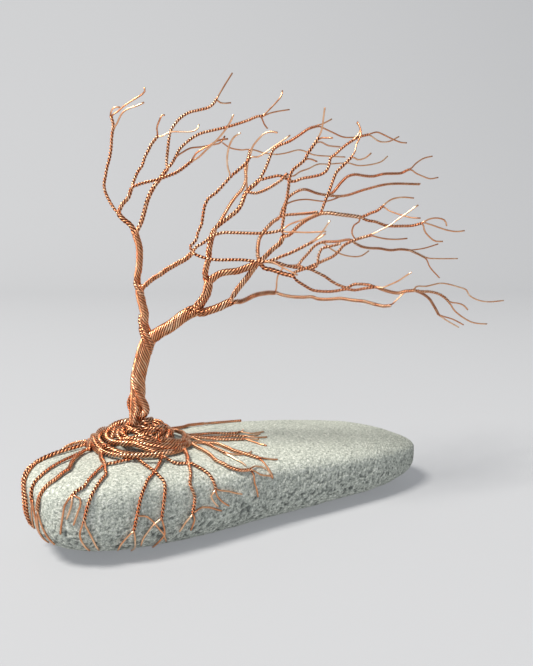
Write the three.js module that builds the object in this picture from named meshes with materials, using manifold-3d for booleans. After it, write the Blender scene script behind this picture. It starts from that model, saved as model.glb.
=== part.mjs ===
// A wire tree sculpture: a windswept tree twisted from copper wire, its roots gripping a flat oval sea pebble.
// Millimetres. The origin lies on the pebble's resting flat under the middle of its length, +X runs along the pebble
// to its thin end, which the tree leans over, +Y is the back and +Z is up.
import * as THREE from "three";
import { mergeVertices } from "three/addons/utils/BufferGeometryUtils.js";
import Module from "manifold-3d";

const wasm = await Module();
wasm.setup();

// The pebble: a super-ellipsoid, thicker at its left end, its equator tipped and its plan bowed towards the back.
const HALF_LENGTH = 54;
const HALF_WIDTH = 21;
const ABOVE_EQUATOR = 6;
const BELOW_EQUATOR = 12.5;
const PLAN_POWER = 2.8;
const TOP_POWER = 3;
const UNDER_POWER = 4;
const THICKNESS_TAPER = -0.24;
const EQUATOR_TIP = -2.5;
const PLAN_BOW = 5;
const EQUATOR_HEIGHT = 12.62; // above the ground at the middle of the length
const RESTING_FLAT = 0.15; // how much of the underside is worn flat

// The wire, and how closely it packs when it is twisted.
const WIRE = 0.4;
const PACKING = 0.75;
const GAP = 0.3; // between neighbouring nodes

// The trunk's foot on the pebble, and the eye point that the crown's depths are worked out from: a depth slides a
// point along its line to the eye, so the crown's outline from the front does not depend on it.
const FOOT = new THREE.Vector2(-26, 6);
const EYE = new THREE.Vector3(-90.18, -149.79, 70.3);
const FRONT_TURN = THREE.MathUtils.degToRad(33);
const ACROSS = new THREE.Vector3(Math.cos(FRONT_TURN), -Math.sin(FRONT_TURN), 0);
const BACK = new THREE.Vector3(Math.sin(FRONT_TURN), Math.cos(FRONT_TURN), 0);
const VIEW_DISTANCE = BACK.dot(new THREE.Vector3(FOOT.x, FOOT.y, 0).sub(EYE));
const CORE_HEIGHT = 12; // the point under the foot that the roots' bearings turn about

// The crown: each limb's count of wires and its run of points [across, up, back], the ends of its twigs after it.
const CROWN = {
  trunk: { wires: 60, run: [[0, 27, 0], [0, 32, 0], [0.1, 36, 0], [1, 40, 0], [2.9, 45.8, 0]] },
  left_stem: {
    wires: 20,
    run: [[2.9, 45.8, 0], [2, 48.4, 0], [2.1, 51.8, 0], [1.5, 54.5, 0], [1, 58.1, 0]],
  },
  right_limb: { wires: 36, run: [[2.9, 45.8, 0], [5.9, 47.7, 0], [10.8, 51, 0], [14.4, 52.8, 0]] },
  left_stem_top: { wires: 13, run: [[1, 58.1, 0], [0.6, 60.5, 0], [1.2, 65, 0], [0.4, 70.6, 0]] },
  left_fork: { wires: 8, run: [[0.4, 70.6, 0], [-0.7, 72.8, 0], [-3.4, 75.3, 0]] },
  left_bough: {
    wires: 3,
    run: [[-3.4, 75.3, 0], [-5.6, 78.6, 1], [-6.6, 82.1, 2], [-5.1, 88.3, 2], [-4.5, 92.8, 2],
      [-4.2, 94.4, 2]],
    twigs: [
      [[-4.2, 94.4, 2], [-4.5, 97.4, 2], [-1.5, 99.7, 2], [2.3, 102, 2], [3.3, 103.8, 2]],
      [[-4.2, 94.4, 2], [-2.4, 97.5, 2], [0.3, 99.4, 2], [3.1, 100.5, 2]],
    ],
  },
  left_inner_bough: {
    part_of: "left_fork",
    wires: 5,
    run: [[-3.4, 75.3, 0], [-3.1, 76.4, 0], [-1.2, 78.9, 0], [-0.3, 81.2, 0]],
  },
  left_spray: {
    wires: 3,
    run: [[-0.3, 81.2, 0], [1.3, 85, 2], [3, 88.3, 3], [4.6, 91.2, 3], [6.1, 93, 3]],
    twigs: [
      [[6.1, 93, 3], [5.9, 94.7, 3], [7.4, 97.9, 3]],
      [[6.1, 93, 3], [8.8, 93.9, 3], [13.7, 94, 4], [15.6, 95.6, 4]],
    ],
  },
  left_front_spray: {
    wires: 2,
    run: [[-0.3, 81.2, 0], [3.2, 82.6, -2], [7.9, 83.9, -4], [13.9, 87.5, -6]],
    twigs: [
      [[13.9, 87.5, -6], [15.9, 89.9, -6], [19.9, 92, -5], [22.2, 92.4, -4]],
      [[13.9, 87.5, -6], [17.2, 89.9, -7], [21.6, 94.4, -8], [23.5, 97.8, -10]],
    ],
  },
  tall_bough: {
    wires: 6,
    run: [[0.4, 70.6, 0], [2, 74, 1], [3.4, 78.6, 2], [5.3, 82.1, 3], [7.9, 85.4, 4]],
  },
  top_spray: {
    wires: 2,
    run: [[7.9, 85.4, 4], [8.3, 89.9, 6], [9, 94, 7], [13.2, 98.2, 9], [17.8, 99.4, 12], [19.7, 101.3, 14]],
    twigs: [
      [[19.7, 101.3, 14], [21.5, 104, 16], [23.3, 106.9, 20]],
      [[19.7, 101.3, 14], [21.2, 100.3, 16], [22.9, 100.4, 18]],
    ],
  },
  tall_spray: {
    wires: 3,
    run: [[7.9, 85.4, 4], [10.9, 89.9, 6], [15.9, 93.6, 9], [22.9, 95.3, 14], [30.2, 97.5, 20]],
    twigs: [
      [[30.2, 97.5, 20], [33.2, 100.4, 22], [34.7, 103.1, 24]],
      [[30.2, 97.5, 20], [34.2, 98.6, 23], [36.3, 98.9, 24]],
      [[29.6, 97.3, 20], [30.6, 95.6, 21], [31.3, 94.7, 22]],
    ],
  },
  tall_back_twig: {
    part_of: "tall_spray",
    wires: 1,
    run: [[10, 88.6, 5.5], [13.5, 90.3, 8], [18.8, 91.1, 11], [20.4, 91.5, 13], [21.5, 93, 14]],
  },
  front_bough: {
    wires: 7,
    run: [[1, 58.1, 0], [3.1, 59.3, -2], [7.6, 62.4, -4], [13.5, 66.2, -5]],
  },
  front_spray: {
    wires: 3,
    run: [[13.5, 66.2, -5], [15.1, 71.3, -5], [16.7, 77.2, -6], [19.3, 80.2, -7], [22.7, 83.8, -8],
      [27.3, 88.4, -8]],
    twigs: [
      [[22.7, 83.8, -8], [22, 88.3, -10], [23.6, 92.8, -13], [25.1, 93.7, -14]],
      [[27.3, 88.4, -8], [27.8, 90.5, -8], [30.6, 93.6, -9], [33.6, 93.8, -10]],
      [[27.3, 88.4, -8], [30.6, 89.2, -8], [36.5, 93.2, -6]],
    ],
  },
  front_long_twig: {
    wires: 2,
    run: [[13.5, 66.2, -5], [16.3, 68.7, -5], [20.7, 71, -4], [29.8, 70.9, -4], [34.8, 71.7, -4]],
    twigs: [
      [[34.8, 71.7, -4], [37.1, 71.2, -4], [45, 71.3, -5]],
      [[34.8, 71.7, -4], [38.2, 73.6, -3], [42.6, 76.4, -2]],
    ],
  },
  front_low_twig: {
    wires: 2,
    run: [[13.5, 66.2, -5], [17.2, 65, -5], [22.3, 64.7, -5], [30.6, 64.6, -5], [41.5, 68.7, -6]],
    twigs: [
      [[41.5, 68.7, -6], [44.7, 72, -7], [45.9, 73.8, -8]],
      [[41.5, 68.7, -6], [43.3, 69.7, -6], [44.9, 70.8, -6]],
    ],
  },
  right_bough: { wires: 21, run: [[14.4, 52.8, 0], [16, 55.3, 0], [17.2, 58, 0], [17.4, 59.5, 0]] },
  rising_bough: {
    part_of: "right_bough",
    wires: 9,
    run: [[17.4, 59.5, 0], [16.6, 61, 0], [17.4, 64.9, 0], [18.7, 71.3, 1]],
  },
  rising_back_spray: {
    wires: 4,
    run: [[18.7, 71.3, 1], [21.4, 75.6, 6], [24.1, 79.6, 12], [26.3, 84, 16], [27.3, 89.6, 20]],
    twigs: [
      [[27.3, 89.6, 20], [24, 90.1, 26], [21, 91.5, 30]],
      [[27.3, 89.6, 20], [33.2, 88.9, 26], [38.8, 89.9, 30], [49.2, 88.3, 38]],
    ],
  },
  rising_spray: {
    wires: 5,
    run: [[18.7, 71.3, 1], [22.6, 74.8, 1], [25, 77.2, 2], [26.4, 80.5, 3], [29, 82.8, 4]],
    twigs: [
      [[26.4, 80.5, 3], [26.4, 84, 0], [26.7, 86.6, -3]],
      [[26.4, 80.5, 3], [30.9, 80.9, 1], [34.7, 83.3, -3], [35.9, 84.6, -4]],
    ],
  },
  upper_spray: {
    wires: 3,
    run: [[29, 82.8, 4], [31.2, 86.6, 6], [33.9, 90.9, 10], [38.8, 93.4, 14], [42.8, 95.3, 18]],
    twigs: [[[42.8, 95.3, 18], [46.1, 93.9, 22], [51.5, 92.9, 28]]],
  },
  upper_long_spray: {
    wires: 3,
    run: [
      [29, 82.8, 4], [34.2, 84.1, 7], [37.2, 82.8, 9], [43.7, 84.4, 12], [45.8, 88, 14], [50, 91.5, 18],
      [54.6, 93.4, 22],
    ],
    twigs: [
      [[54.6, 93.4, 22], [56.4, 93.9, 24], [59.9, 92.4, 28], [63.3, 91.5, 30]],
      [[54.6, 93.4, 22], [57.1, 91.8, 24], [61.5, 92.9, 30]],
      [[50, 91.5, 18], [52.6, 94.2, 20], [51.8, 96, 20]],
    ],
  },
  upper_back_twig: {
    part_of: "upper_long_spray",
    wires: 1,
    run: [[34.2, 84.1, 7], [38.8, 85, 15], [43, 86.7, 20], [50.2, 86.9, 28], [55.1, 86.6, 32],
      [59, 88.5, 36]],
  },
  leaning_bough: {
    wires: 12,
    run: [[17.4, 59.5, 0], [20.2, 61.5, 0], [24.3, 62.1, 0], [29.2, 64.1, -1]],
  },
  dark_bough: { wires: 7, run: [[29.2, 64.1, -1], [32.3, 67, -1], [34.9, 70, -2]] },
  dark_spray: {
    wires: 3,
    run: [
      [34.9, 70, -2], [35, 74, -2], [35.8, 78.9, -2], [36.5, 83.8, -2], [38.8, 86.7, -3], [40.6, 89.1, -3],
      [43, 92.5, -4],
    ],
    twigs: [
      [[43, 92.5, -4], [44.1, 96.9, -6], [44.4, 99.3, -8]],
      [[43, 92.5, -4], [46.3, 92.6, -6]],
      [[40.4, 88.7, -3], [42.7, 87.3, 0]],
    ],
  },
  middle_bough: { wires: 4, run: [[34.9, 70, -2], [37.7, 71.8, -1], [40.6, 74.1, 0], [43.6, 75.4, 1]] },
  middle_rising_spray: {
    wires: 3,
    run: [[43.6, 75.4, 1], [45, 79.1, 2], [47.3, 84.9, 4], [50.8, 88.4, 6]],
    twigs: [
      [[50.8, 88.4, 6], [51.7, 91, 8], [52.6, 93.8, 9], [51.9, 96.2, 10]],
      [[50.8, 88.4, 6], [54, 88.2, 7], [55.2, 89.2, 8]],
    ],
  },
  middle_back_spray: {
    wires: 2,
    run: [[45, 79.1, 3], [48.3, 82.5, 8], [51.6, 84.4, 14], [55.8, 84, 20], [64.4, 85.6, 30]],
    twigs: [
      [[64.4, 85.6, 30], [67.3, 88, 34], [69.3, 88.5, 36]],
      [[64.4, 85.6, 30], [67.2, 84, 34], [70.8, 83.7, 36]],
    ],
  },
  middle_spray: { wires: 5, run: [[43.6, 75.4, 1], [47.9, 75.3, 2], [52.7, 74.7, 4]] },
  middle_upper_twig: {
    part_of: "middle_spray",
    wires: 2,
    run: [[52.7, 74.7, 4], [56.8, 76.1, 7], [58.2, 77.2, 8]],
    twigs: [
      [[58.2, 77.2, 8], [60.7, 78.9, 10], [65.3, 79, 12]],
      [[58.2, 77.2, 8], [61, 75.6, 8], [67, 74.4, 8]],
    ],
  },
  middle_lower_twig: {
    wires: 3,
    run: [[52.7, 74.7, 4], [56.5, 73.6, 6], [60.1, 72.6, 8], [67.5, 73.3, 12]],
    twigs: [
      [[67.5, 73.3, 12], [71.2, 74.4, 13], [73.2, 72.6, 14]],
      [[67.5, 73.3, 12], [73.4, 71.6, 14], [77.4, 71.5, 16]],
      [[67.5, 73.3, 12], [69.2, 70.1, 13], [72.4, 69, 14]],
    ],
  },
  arched_bough: {
    wires: 5,
    run: [[29.2, 64.1, -1], [29, 67.7, 4], [30.2, 71, 6], [33.9, 74.4, 8]],
  },
  arched_spray: { wires: 3, run: [[33.9, 74.4, 8], [38.3, 75.3, 8], [43, 75.8, 5]] },
  far_spray: {
    wires: 2,
    run: [
      [33.9, 74.4, 8], [36.3, 79.3, 14], [39.6, 81, 18], [43.3, 80, 22], [48.7, 79.5, 28], [59.2, 82.2, 38],
      [66.6, 82.2, 45],
    ],
    twigs: [[[35.2, 77, 11], [40, 78.7, 18], [45, 78.3, 24], [48.7, 79.5, 28]]],
  },
  low_bough: {
    wires: 6,
    run: [[29.2, 64.1, -1], [32.3, 62.4, -1], [37, 61, -1]],
  },
  low_spray: {
    part_of: "low_bough",
    wires: 3,
    run: [[37, 61, -1], [40, 58.7, 0], [44, 57.3, 1], [50, 57.8, 2], [56.8, 58.3, 4]],
    twigs: [
      [[56.8, 58.3, 4], [60.1, 58.8, 3], [65.3, 61.8, 0]],
    ],
  },
  low_middle_spray: {
    wires: 2,
    run: [[29.2, 64.1, -1], [33.3, 64.2, 2], [38, 62.9, 3], [42.5, 62, 3], [48.6, 58.6, 4], [53.5, 59, 5]],
  },
  low_tip_spray: {
    wires: 4,
    run: [[56.8, 58.3, 4], [60.8, 57.1, 6], [65.8, 57.5, 8]],
  },
  low_near_twig: {
    part_of: "low_tip_spray",
    wires: 2,
    run: [[65.8, 57.5, 8], [71.9, 56.7, 12], [74.5, 54.7, 14]],
    twigs: [
      [[74.5, 54.7, 14], [77.8, 54, 16], [78.9, 52.9, 16]],
      [[74.5, 54.7, 14], [77.5, 51.3, 16], [83.6, 49.5, 18]],
    ],
  },
  long_spray: {
    wires: 3,
    run: [
      [37, 61, -1], [42.4, 63.6, 1], [46.8, 65.6, 3], [49.1, 68, 4], [55.3, 70.4, 4], [60, 72.8, 4],
      [66.4, 77.4, 4],
    ],
    twigs: [[[55.3, 70.4, 4], [59.1, 69.6, 8], [64, 69.7, 12]]],
  },
  back_bough: {
    wires: 3,
    run: [[29.2, 64.1, -1], [38.4, 63.5, 8], [42.2, 67.8, 12], [47.5, 69, 12], [51.9, 68.6, 16]],
  },
  back_spray: {
    part_of: "back_bough",
    wires: 3,
    run: [[51.9, 68.6, 16], [57.6, 67.4, 24], [64.5, 67, 32], [68.5, 65.2, 36]],
    twigs: [
      [[68.5, 65.2, 36], [69.6, 63, 38], [71.9, 60.5, 42]],
      [[68.5, 65.2, 36], [71, 65, 38], [76, 65, 42]],
      [[64.5, 67, 32], [71.3, 68.4, 42]],
    ],
  },
  lowest_bough: { wires: 15, run: [[14.4, 52.8, 0], [17.7, 52.8, 0], [22.8, 54.9, 0]] },
  link_bough: { wires: 8, run: [[22.8, 54.9, 0], [25.2, 59, 0], [28.6, 63.4, 0]] },
  lowest_limb: { wires: 7, run: [[22.8, 54.9, 0], [28.3, 56.4, 6], [33, 57, 12]] },
  lowest_rising_twig: {
    part_of: "lowest_limb",
    wires: 3,
    run: [[33, 57, 12], [33.5, 59.6, 11], [35, 62.8, 10]],
  },
  lowest_spray: {
    wires: 4,
    run: [[33, 57, 12], [41.8, 56, 13], [48.6, 55.6, 11], [60.6, 53.9, 9], [63.9, 57.1, 9]],
  },
  far_tip_spray: {
    part_of: "low_tip_spray",
    wires: 1,
    run: [[65.8, 57.5, 8], [72.2, 59.2, 18], [78.4, 57.6, 25], [81, 55.3, 28], [87.3, 55.1, 34]],
  },
  far_low_twig: {
    part_of: "low_tip_spray",
    wires: 2,
    run: [[65.8, 57.5, 8], [70.8, 53.9, 20], [72, 51.8, 26]],
    twigs: [
      [[72, 51.8, 26], [73.9, 50.4, 30], [76.9, 48.7, 34]],
      [[72, 51.8, 26], [75.5, 50.6, 30], [78, 49.3, 34]],
    ],
  },
};

// The roots: each one's count of wires, its run over the pebble as [bearing in degrees, distance from the foot],
// and the ends of its wires. Bearing 0 is +X and 90 is the back.
const ROOTS = {
  root_left_end: {
    wires: 6,
    run: [[164, 13], [168, 18], [172, 24], [175, 30]],
    tips: [[[175, 30], [178, 34], [180, 38.5]], [[172, 24], [180, 30], [187, 38]], [[175, 30],
      [173, 34], [176, 37]]],
  },
  root_left: {
    wires: 3,
    run: [[181, 13], [184, 18.5], [189, 26], [191, 33]],
    tips: [[[191, 33], [189, 37.5]], [[191, 33], [196, 41]]],
  },
  root_left_front: {
    wires: 4,
    run: [[184, 14], [192, 17.5], [203, 22], [203, 27], [196, 35.5]],
    tips: [[[196, 35.5], [198, 39], [202, 42.5]], [[196, 35.5], [192, 39], [191, 43]]],
  },
  root_front_left: {
    wires: 5,
    run: [[203, 13], [222, 17.5], [228, 21.5], [227, 25], [223, 33.5]],
    tips: [
      [[222, 17.5], [221.5, 26.5], [216, 31.2], [213.5, 38]],
      [[221, 27.5], [222.5, 29], [219, 35]],
      [[223, 33.5], [221, 37], [222.5, 41.5]],
      [[223, 33.5], [226, 38], [226.5, 40.5]],
    ],
  },
  root_front: {
    wires: 3,
    run: [[242, 13], [256.5, 18.7], [261.5, 22], [258.5, 29.5], [261, 33.5]],
    tips: [[[261, 33.5], [256, 37], [255, 39.5]], [[258.5, 30], [250.5, 33], [247, 37]]],
  },
  root_front_middle: {
    wires: 3,
    run: [[271, 13], [264, 15.5], [251.5, 21.5], [247.5, 25], [243.5, 32.8]],
    tips: [[[243.5, 32.8], [237, 37], [234.5, 40]], [[243.5, 32.8], [243.8, 38], [241, 41]]],
  },
  root_front_right: {
    wires: 5,
    run: [[302, 13], [285, 17.5], [276.5, 23], [279, 26.3], [277.5, 29.8]],
    tips: [
      [[277.5, 29.8], [273, 31.5], [270, 33.5]],
      [[277.5, 29.8], [279, 31.3], [277.5, 34]],
      [[279, 26.3], [288, 28], [295, 31.5]],
      [[285, 17.5], [290, 22.5], [292, 28], [299, 32.5]],
      [[291.5, 26.5], [299, 29], [305.5, 32]],
    ],
  },
  root_right_front: {
    wires: 4,
    run: [[318, 14], [303, 20.8], [307, 27], [311.5, 31.8]],
    tips: [
      [[311.5, 31.8], [312.5, 36]],
      [[311.5, 31.8], [317, 33.5], [318, 35]],
      [[311, 29], [315, 29.4], [317.5, 32.3], [318, 34.8]],
    ],
  },
  root_right: {
    wires: 4,
    run: [[337, 14], [333, 18.5], [322, 23], [320.5, 29.5]],
    tips: [[[320.5, 29.5], [322.5, 31.8], [324.5, 34]]],
  },
  root_right_low: {
    wires: 3,
    run: [[353, 14], [344, 19], [343.5, 24.7], [344.5, 26.5]],
    tips: [[[344.5, 26.5], [337, 30], [335.5, 31.5]], [[344.5, 26.5], [344, 30.5]]],
  },
  root_right_end: {
    wires: 3,
    run: [[363, 14], [361.5, 20.7], [357, 26.7], [358.5, 28.2]],
    tips: [[[358.5, 28.2], [364, 31]], [[358.5, 28.2], [357, 35]]],
  },
  root_back_right: {
    wires: 4,
    run: [[42, 14], [32, 22], [26, 30]],
    tips: [[[26, 30], [22, 35], [21, 40]], [[26, 30], [29, 34], [27, 38]]],
  },
  root_back: {
    wires: 5,
    run: [[78, 13], [72, 18], [74, 24]],
    tips: [[[74, 24], [70, 30], [72, 34]], [[74, 24], [80, 29], [79, 33]], [[72, 18], [60, 24], [56, 29]]],
  },
  root_back_left: {
    wires: 5,
    run: [[112, 13], [104, 18], [107, 24]],
    tips: [[[107, 24], [102, 30], [103, 34]], [[107, 24], [113, 29], [112, 33]]],
  },
  root_left_back: {
    wires: 4,
    run: [[146, 13], [140, 18], [145, 25]],
    tips: [[[145, 25], [140, 31], [142, 36]], [[145, 25], [151, 31], [153, 36]]],
  },
};

// The collar: the root bundles leave the trunk high, sweep round it and come down onto the pebble.
const COLLAR_BUNDLES = 9;
const COLLAR_WIRES = 6;
const COLLAR_SWEEP = 120; // degrees round the trunk
const COLLAR_REACH = 11.5;
const COLLAR_RISE = [2.6, 3.6, 4.6]; // how far above the pebble the bundles start, in turn
const COLLAR_START = 1.2; // from the trunk's axis
const COLLAR_CORE_RADIUS = 1.9;
const COLLAR_CORE = [20.6, 26.4]; // its lowest and highest point above the ground

const bundleRadius = (wires) => (wires === 1 ? WIRE / 2 : (WIRE * Math.sqrt(wires / PACKING)) / 2);

// Below zero inside the pebble, above zero outside it.
function pebbleSide(point) {
  const u = point.x / HALF_LENGTH;
  const y = (point.y - PLAN_BOW * (1 - u * u)) / HALF_WIDTH;
  const z = (point.z - EQUATOR_HEIGHT + RESTING_FLAT - EQUATOR_TIP * u) / (1 + THICKNESS_TAPER * u);
  const ring = (Math.abs(u) ** PLAN_POWER + Math.abs(y) ** PLAN_POWER) ** (1 / PLAN_POWER);
  const [power, depth] = z > 0 ? [TOP_POWER, ABOVE_EQUATOR] : [UNDER_POWER, BELOW_EQUATOR];
  return ring ** power + Math.abs(z / depth) ** power - 1;
}

// Where a ray from inside the pebble leaves it.
function pebbleExit(from, direction) {
  let near = 0;
  let far = 2 * HALF_LENGTH;
  for (let step = 0; step < 40; step += 1) {
    const middle = (near + far) / 2;
    if (pebbleSide(from.clone().addScaledVector(direction, middle)) < 0) near = middle;
    else far = middle;
  }
  return from.clone().addScaledVector(direction, near);
}

// The point at a distance along the pebble's surface from the trunk's foot, out along a bearing, lifted clear of it.
function onPebble(bearing, distance, lift) {
  const core = new THREE.Vector3(FOOT.x, FOOT.y, CORE_HEIGHT);
  const turn = THREE.MathUtils.degToRad(bearing);
  const outward = new THREE.Vector3(Math.cos(turn), Math.sin(turn), 0);
  let walked = 0;
  let last = pebbleExit(core, new THREE.Vector3(0, 0, 1));
  for (let angle = 87; angle > -80; angle -= 3) {
    const tilt = THREE.MathUtils.degToRad(angle);
    const ray = outward.clone().multiplyScalar(Math.cos(tilt)).setZ(Math.sin(tilt));
    const next = pebbleExit(core, ray);
    const stride = next.distanceTo(last);
    if (walked + stride >= distance) {
      last.lerp(next, (distance - walked) / stride);
      break;
    }
    walked += stride;
    last = next;
  }
  const step = 0.01;
  const slope = ["x", "y", "z"].map((axis) => {
    const ahead = last.clone();
    ahead[axis] += step;
    const behind = last.clone();
    behind[axis] -= step;
    return pebbleSide(ahead) - pebbleSide(behind);
  });
  return last.addScaledVector(new THREE.Vector3(...slope).normalize(), lift);
}

// A crown point from its place across, up and back.
function inCrown([across, up, back]) {
  const flat = new THREE.Vector3(FOOT.x, FOOT.y, up).addScaledVector(ACROSS, across);
  return flat.sub(EYE).multiplyScalar(1 + back / VIEW_DISTANCE).add(EYE);
}

function solidOf(geometry) {
  const bare = geometry.clone();
  bare.deleteAttribute("normal");
  bare.deleteAttribute("uv");
  const merged = mergeVertices(bare, 1e-4);
  return new wasm.Manifold(new wasm.Mesh({
    numProp: 3,
    vertProperties: merged.attributes.position.array,
    triVerts: new Uint32Array(merged.index.array),
  }));
}

function geometryOf(solid) {
  const mesh = solid.getMesh();
  const geometry = new THREE.BufferGeometry();
  geometry.setAttribute("position", new THREE.BufferAttribute(new Float32Array(mesh.vertProperties), mesh.numProp));
  geometry.setIndex(new THREE.BufferAttribute(new Uint32Array(mesh.triVerts), 1));
  return geometry;
}

// A round tube along points, its ends drawn out by a little where that is asked for.
function tube(points, radius, steps, drawnOut = 0) {
  const run = points.map((point) => point.clone());
  const last = run.length - 1;
  run[0].addScaledVector(run[0].clone().sub(run[1]).normalize(), drawnOut);
  run[last].addScaledVector(run[last].clone().sub(run[last - 1]).normalize(), drawnOut);
  const sides = [0.35, 0.6, 1.2].filter((limit) => radius > limit).length + 3;
  const section = new THREE.Shape();
  for (let side = 0; side < sides; side += 1) {
    const turn = (2 * Math.PI * side) / sides;
    section[side ? "lineTo" : "moveTo"](radius * Math.cos(turn), radius * Math.sin(turn));
  }
  return solidOf(new THREE.ExtrudeGeometry(section, {
    steps,
    bevelEnabled: false,
    extrudePath: new THREE.CatmullRomCurve3(run, false, "centripetal"),
  }));
}

// A limb and its twigs as lists of tubes: { points, radius, steps }.
function crownTubes({ wires, run, twigs = [] }) {
  const main = { points: run.map(inCrown), radius: bundleRadius(wires), steps: 2 * (run.length - 1) + 1 };
  const ends = twigs.map((twig) => ({
    points: twig.map(inCrown), radius: bundleRadius(1), steps: twig.length,
  }));
  return [main, ...ends];
}

// A root follows the pebble: its run is smoothed as bearings and distances, then laid on the surface.
function rootTubes({ wires, run, tips = [] }) {
  const lay = (points, radius) => {
    const plan = new THREE.CatmullRomCurve3(points.map(([bearing, distance]) => (
      new THREE.Vector3(bearing, distance, 0))), false, "centripetal");
    const count = 2 * points.length;
    const laid = plan.getSpacedPoints(count).map((p) => onPebble(p.x, p.y, radius + GAP));
    return { points: laid, radius, steps: count };
  };
  return [lay(run, bundleRadius(wires)), ...tips.map((tip) => lay(tip, bundleRadius(1)))];
}

function collarTubes() {
  const core = COLLAR_CORE.map((height) => new THREE.Vector3(FOOT.x, FOOT.y, height));
  const tubes = [{ points: core, radius: COLLAR_CORE_RADIUS, steps: 1 }];
  const radius = bundleRadius(COLLAR_WIRES);
  for (let bundle = 0; bundle < COLLAR_BUNDLES; bundle += 1) {
    const leaves = (360 * bundle) / COLLAR_BUNDLES + 40;
    const points = [];
    for (let step = 0; step <= 8; step += 1) {
      const t = step / 8;
      const bearing = leaves - COLLAR_SWEEP * (1 - t) ** 1.5;
      const reach = COLLAR_START + (COLLAR_REACH - COLLAR_START) * t;
      const rise = COLLAR_RISE[bundle % COLLAR_RISE.length] * (1 - t) ** 2;
      points.push(onPebble(bearing, reach, radius + GAP + rise));
    }
    tubes.push({ points, radius, steps: 8 });
  }
  return tubes;
}

function pebbleSolid() {
  const ball = new THREE.SphereGeometry(1, 32, 16);
  ball.rotateX(Math.PI / 2);
  const place = ball.attributes.position;
  const power = (value, exponent) => Math.sign(value) * Math.abs(value) ** exponent;
  for (let index = 0; index < place.count; index += 1) {
    const [x, y, z] = [place.getX(index), place.getY(index), place.getZ(index)];
    const [bend, depth] = z > 0 ? [TOP_POWER, ABOVE_EQUATOR] : [UNDER_POWER, BELOW_EQUATOR];
    const flat = Math.hypot(x, y);
    const ring = flat ** (2 / bend);
    const u = flat ? ring * power(x / flat, 2 / PLAN_POWER) : 0;
    const side = flat ? ring * power(y / flat, 2 / PLAN_POWER) : 0;
    const height = depth * power(z, 2 / bend) * (1 + THICKNESS_TAPER * u) + EQUATOR_TIP * u;
    place.setXYZ(
      index,
      HALF_LENGTH * u,
      HALF_WIDTH * side + PLAN_BOW * (1 - u * u),
      height + EQUATOR_HEIGHT - RESTING_FLAT,
    );
  }
  const ground = new THREE.BoxGeometry(4 * HALF_LENGTH, 4 * HALF_LENGTH, 4);
  ground.translate(0, 0, -2);
  return solidOf(ball).subtract(solidOf(ground));
}

const COPPER = new THREE.MeshStandardMaterial({ color: 0xc98257, roughness: 0.3, metalness: 1 });
const SANDSTONE = new THREE.MeshStandardMaterial({ color: 0xa9aea2, roughness: 0.9, metalness: 0 });

const sculpture = new THREE.Group();

function addNode(name, solid, material) {
  const bodies = solid.decompose().sort((a, b) => b.volume() - a.volume());
  const mesh = new THREE.Mesh(geometryOf(bodies[0]), material);
  mesh.name = name;
  sculpture.add(mesh);
}

// Each limb is cut clear of the limbs before it, so that a fork is a narrow gap and a crossing is a notch.
let taken = null;
function addTubes(name, tubes) {
  const solids = tubes.map(({ points, radius, steps }) => tube(points, radius, steps));
  const whole = wasm.Manifold.union(solids);
  addNode(name, taken ? whole.subtract(taken) : whole, COPPER);
  const fat = tubes.map(({ points, radius, steps }) => tube(points, radius + GAP, steps, GAP));
  taken = wasm.Manifold.union(taken ? [taken, ...fat] : fat);
}

addNode("pebble", pebbleSolid(), SANDSTONE);
for (const [name, limb] of Object.entries(CROWN)) {
  const joined = Object.values(CROWN).filter((other) => other.part_of === name);
  if (!limb.part_of) addTubes(name, [limb, ...joined].flatMap(crownTubes));
}
addTubes("root_collar", collarTubes());
for (const [name, root] of Object.entries(ROOTS)) addTubes(name, rootTubes(root));

export default sculpture;
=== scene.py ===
"""A wire tree sculpture: a windswept tree twisted from copper wire, its roots gripping a sea pebble."""

import math
import random

import bpy
import numpy as np
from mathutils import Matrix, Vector, noise


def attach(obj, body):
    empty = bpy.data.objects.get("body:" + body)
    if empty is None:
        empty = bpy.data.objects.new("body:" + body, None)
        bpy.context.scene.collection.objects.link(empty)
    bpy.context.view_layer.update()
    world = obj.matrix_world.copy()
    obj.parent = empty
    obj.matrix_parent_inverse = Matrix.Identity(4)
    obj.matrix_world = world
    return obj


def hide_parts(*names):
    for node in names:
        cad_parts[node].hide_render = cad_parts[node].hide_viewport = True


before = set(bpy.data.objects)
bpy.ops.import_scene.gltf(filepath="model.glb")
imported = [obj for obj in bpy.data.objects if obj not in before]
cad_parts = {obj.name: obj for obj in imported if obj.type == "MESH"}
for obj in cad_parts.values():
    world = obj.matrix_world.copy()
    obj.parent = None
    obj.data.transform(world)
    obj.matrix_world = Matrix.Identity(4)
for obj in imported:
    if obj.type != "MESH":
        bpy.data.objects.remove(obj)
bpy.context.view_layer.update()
random.seed(7)

# --------------------------------------------------------------------------------------------------------
# The stone. A flat oval pebble of fine grey-green sandstone, rolled smooth on top by the sea, its lower
# sides still rough and pitted. It is whole and undrilled: the tree only grips it. Lengths below are
# millimetres.
# --------------------------------------------------------------------------------------------------------
half_length, half_width, above, below = 54, 21, 6, 12.5
plan_power, top_power, under_power = 2.8, 3, 4
bow, taper, tip, equator = 5, -0.24, -2.5, 12.47
rough_below, rough_fade = 15.5, 9  # the sides turn rough under this height, over this much

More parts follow.
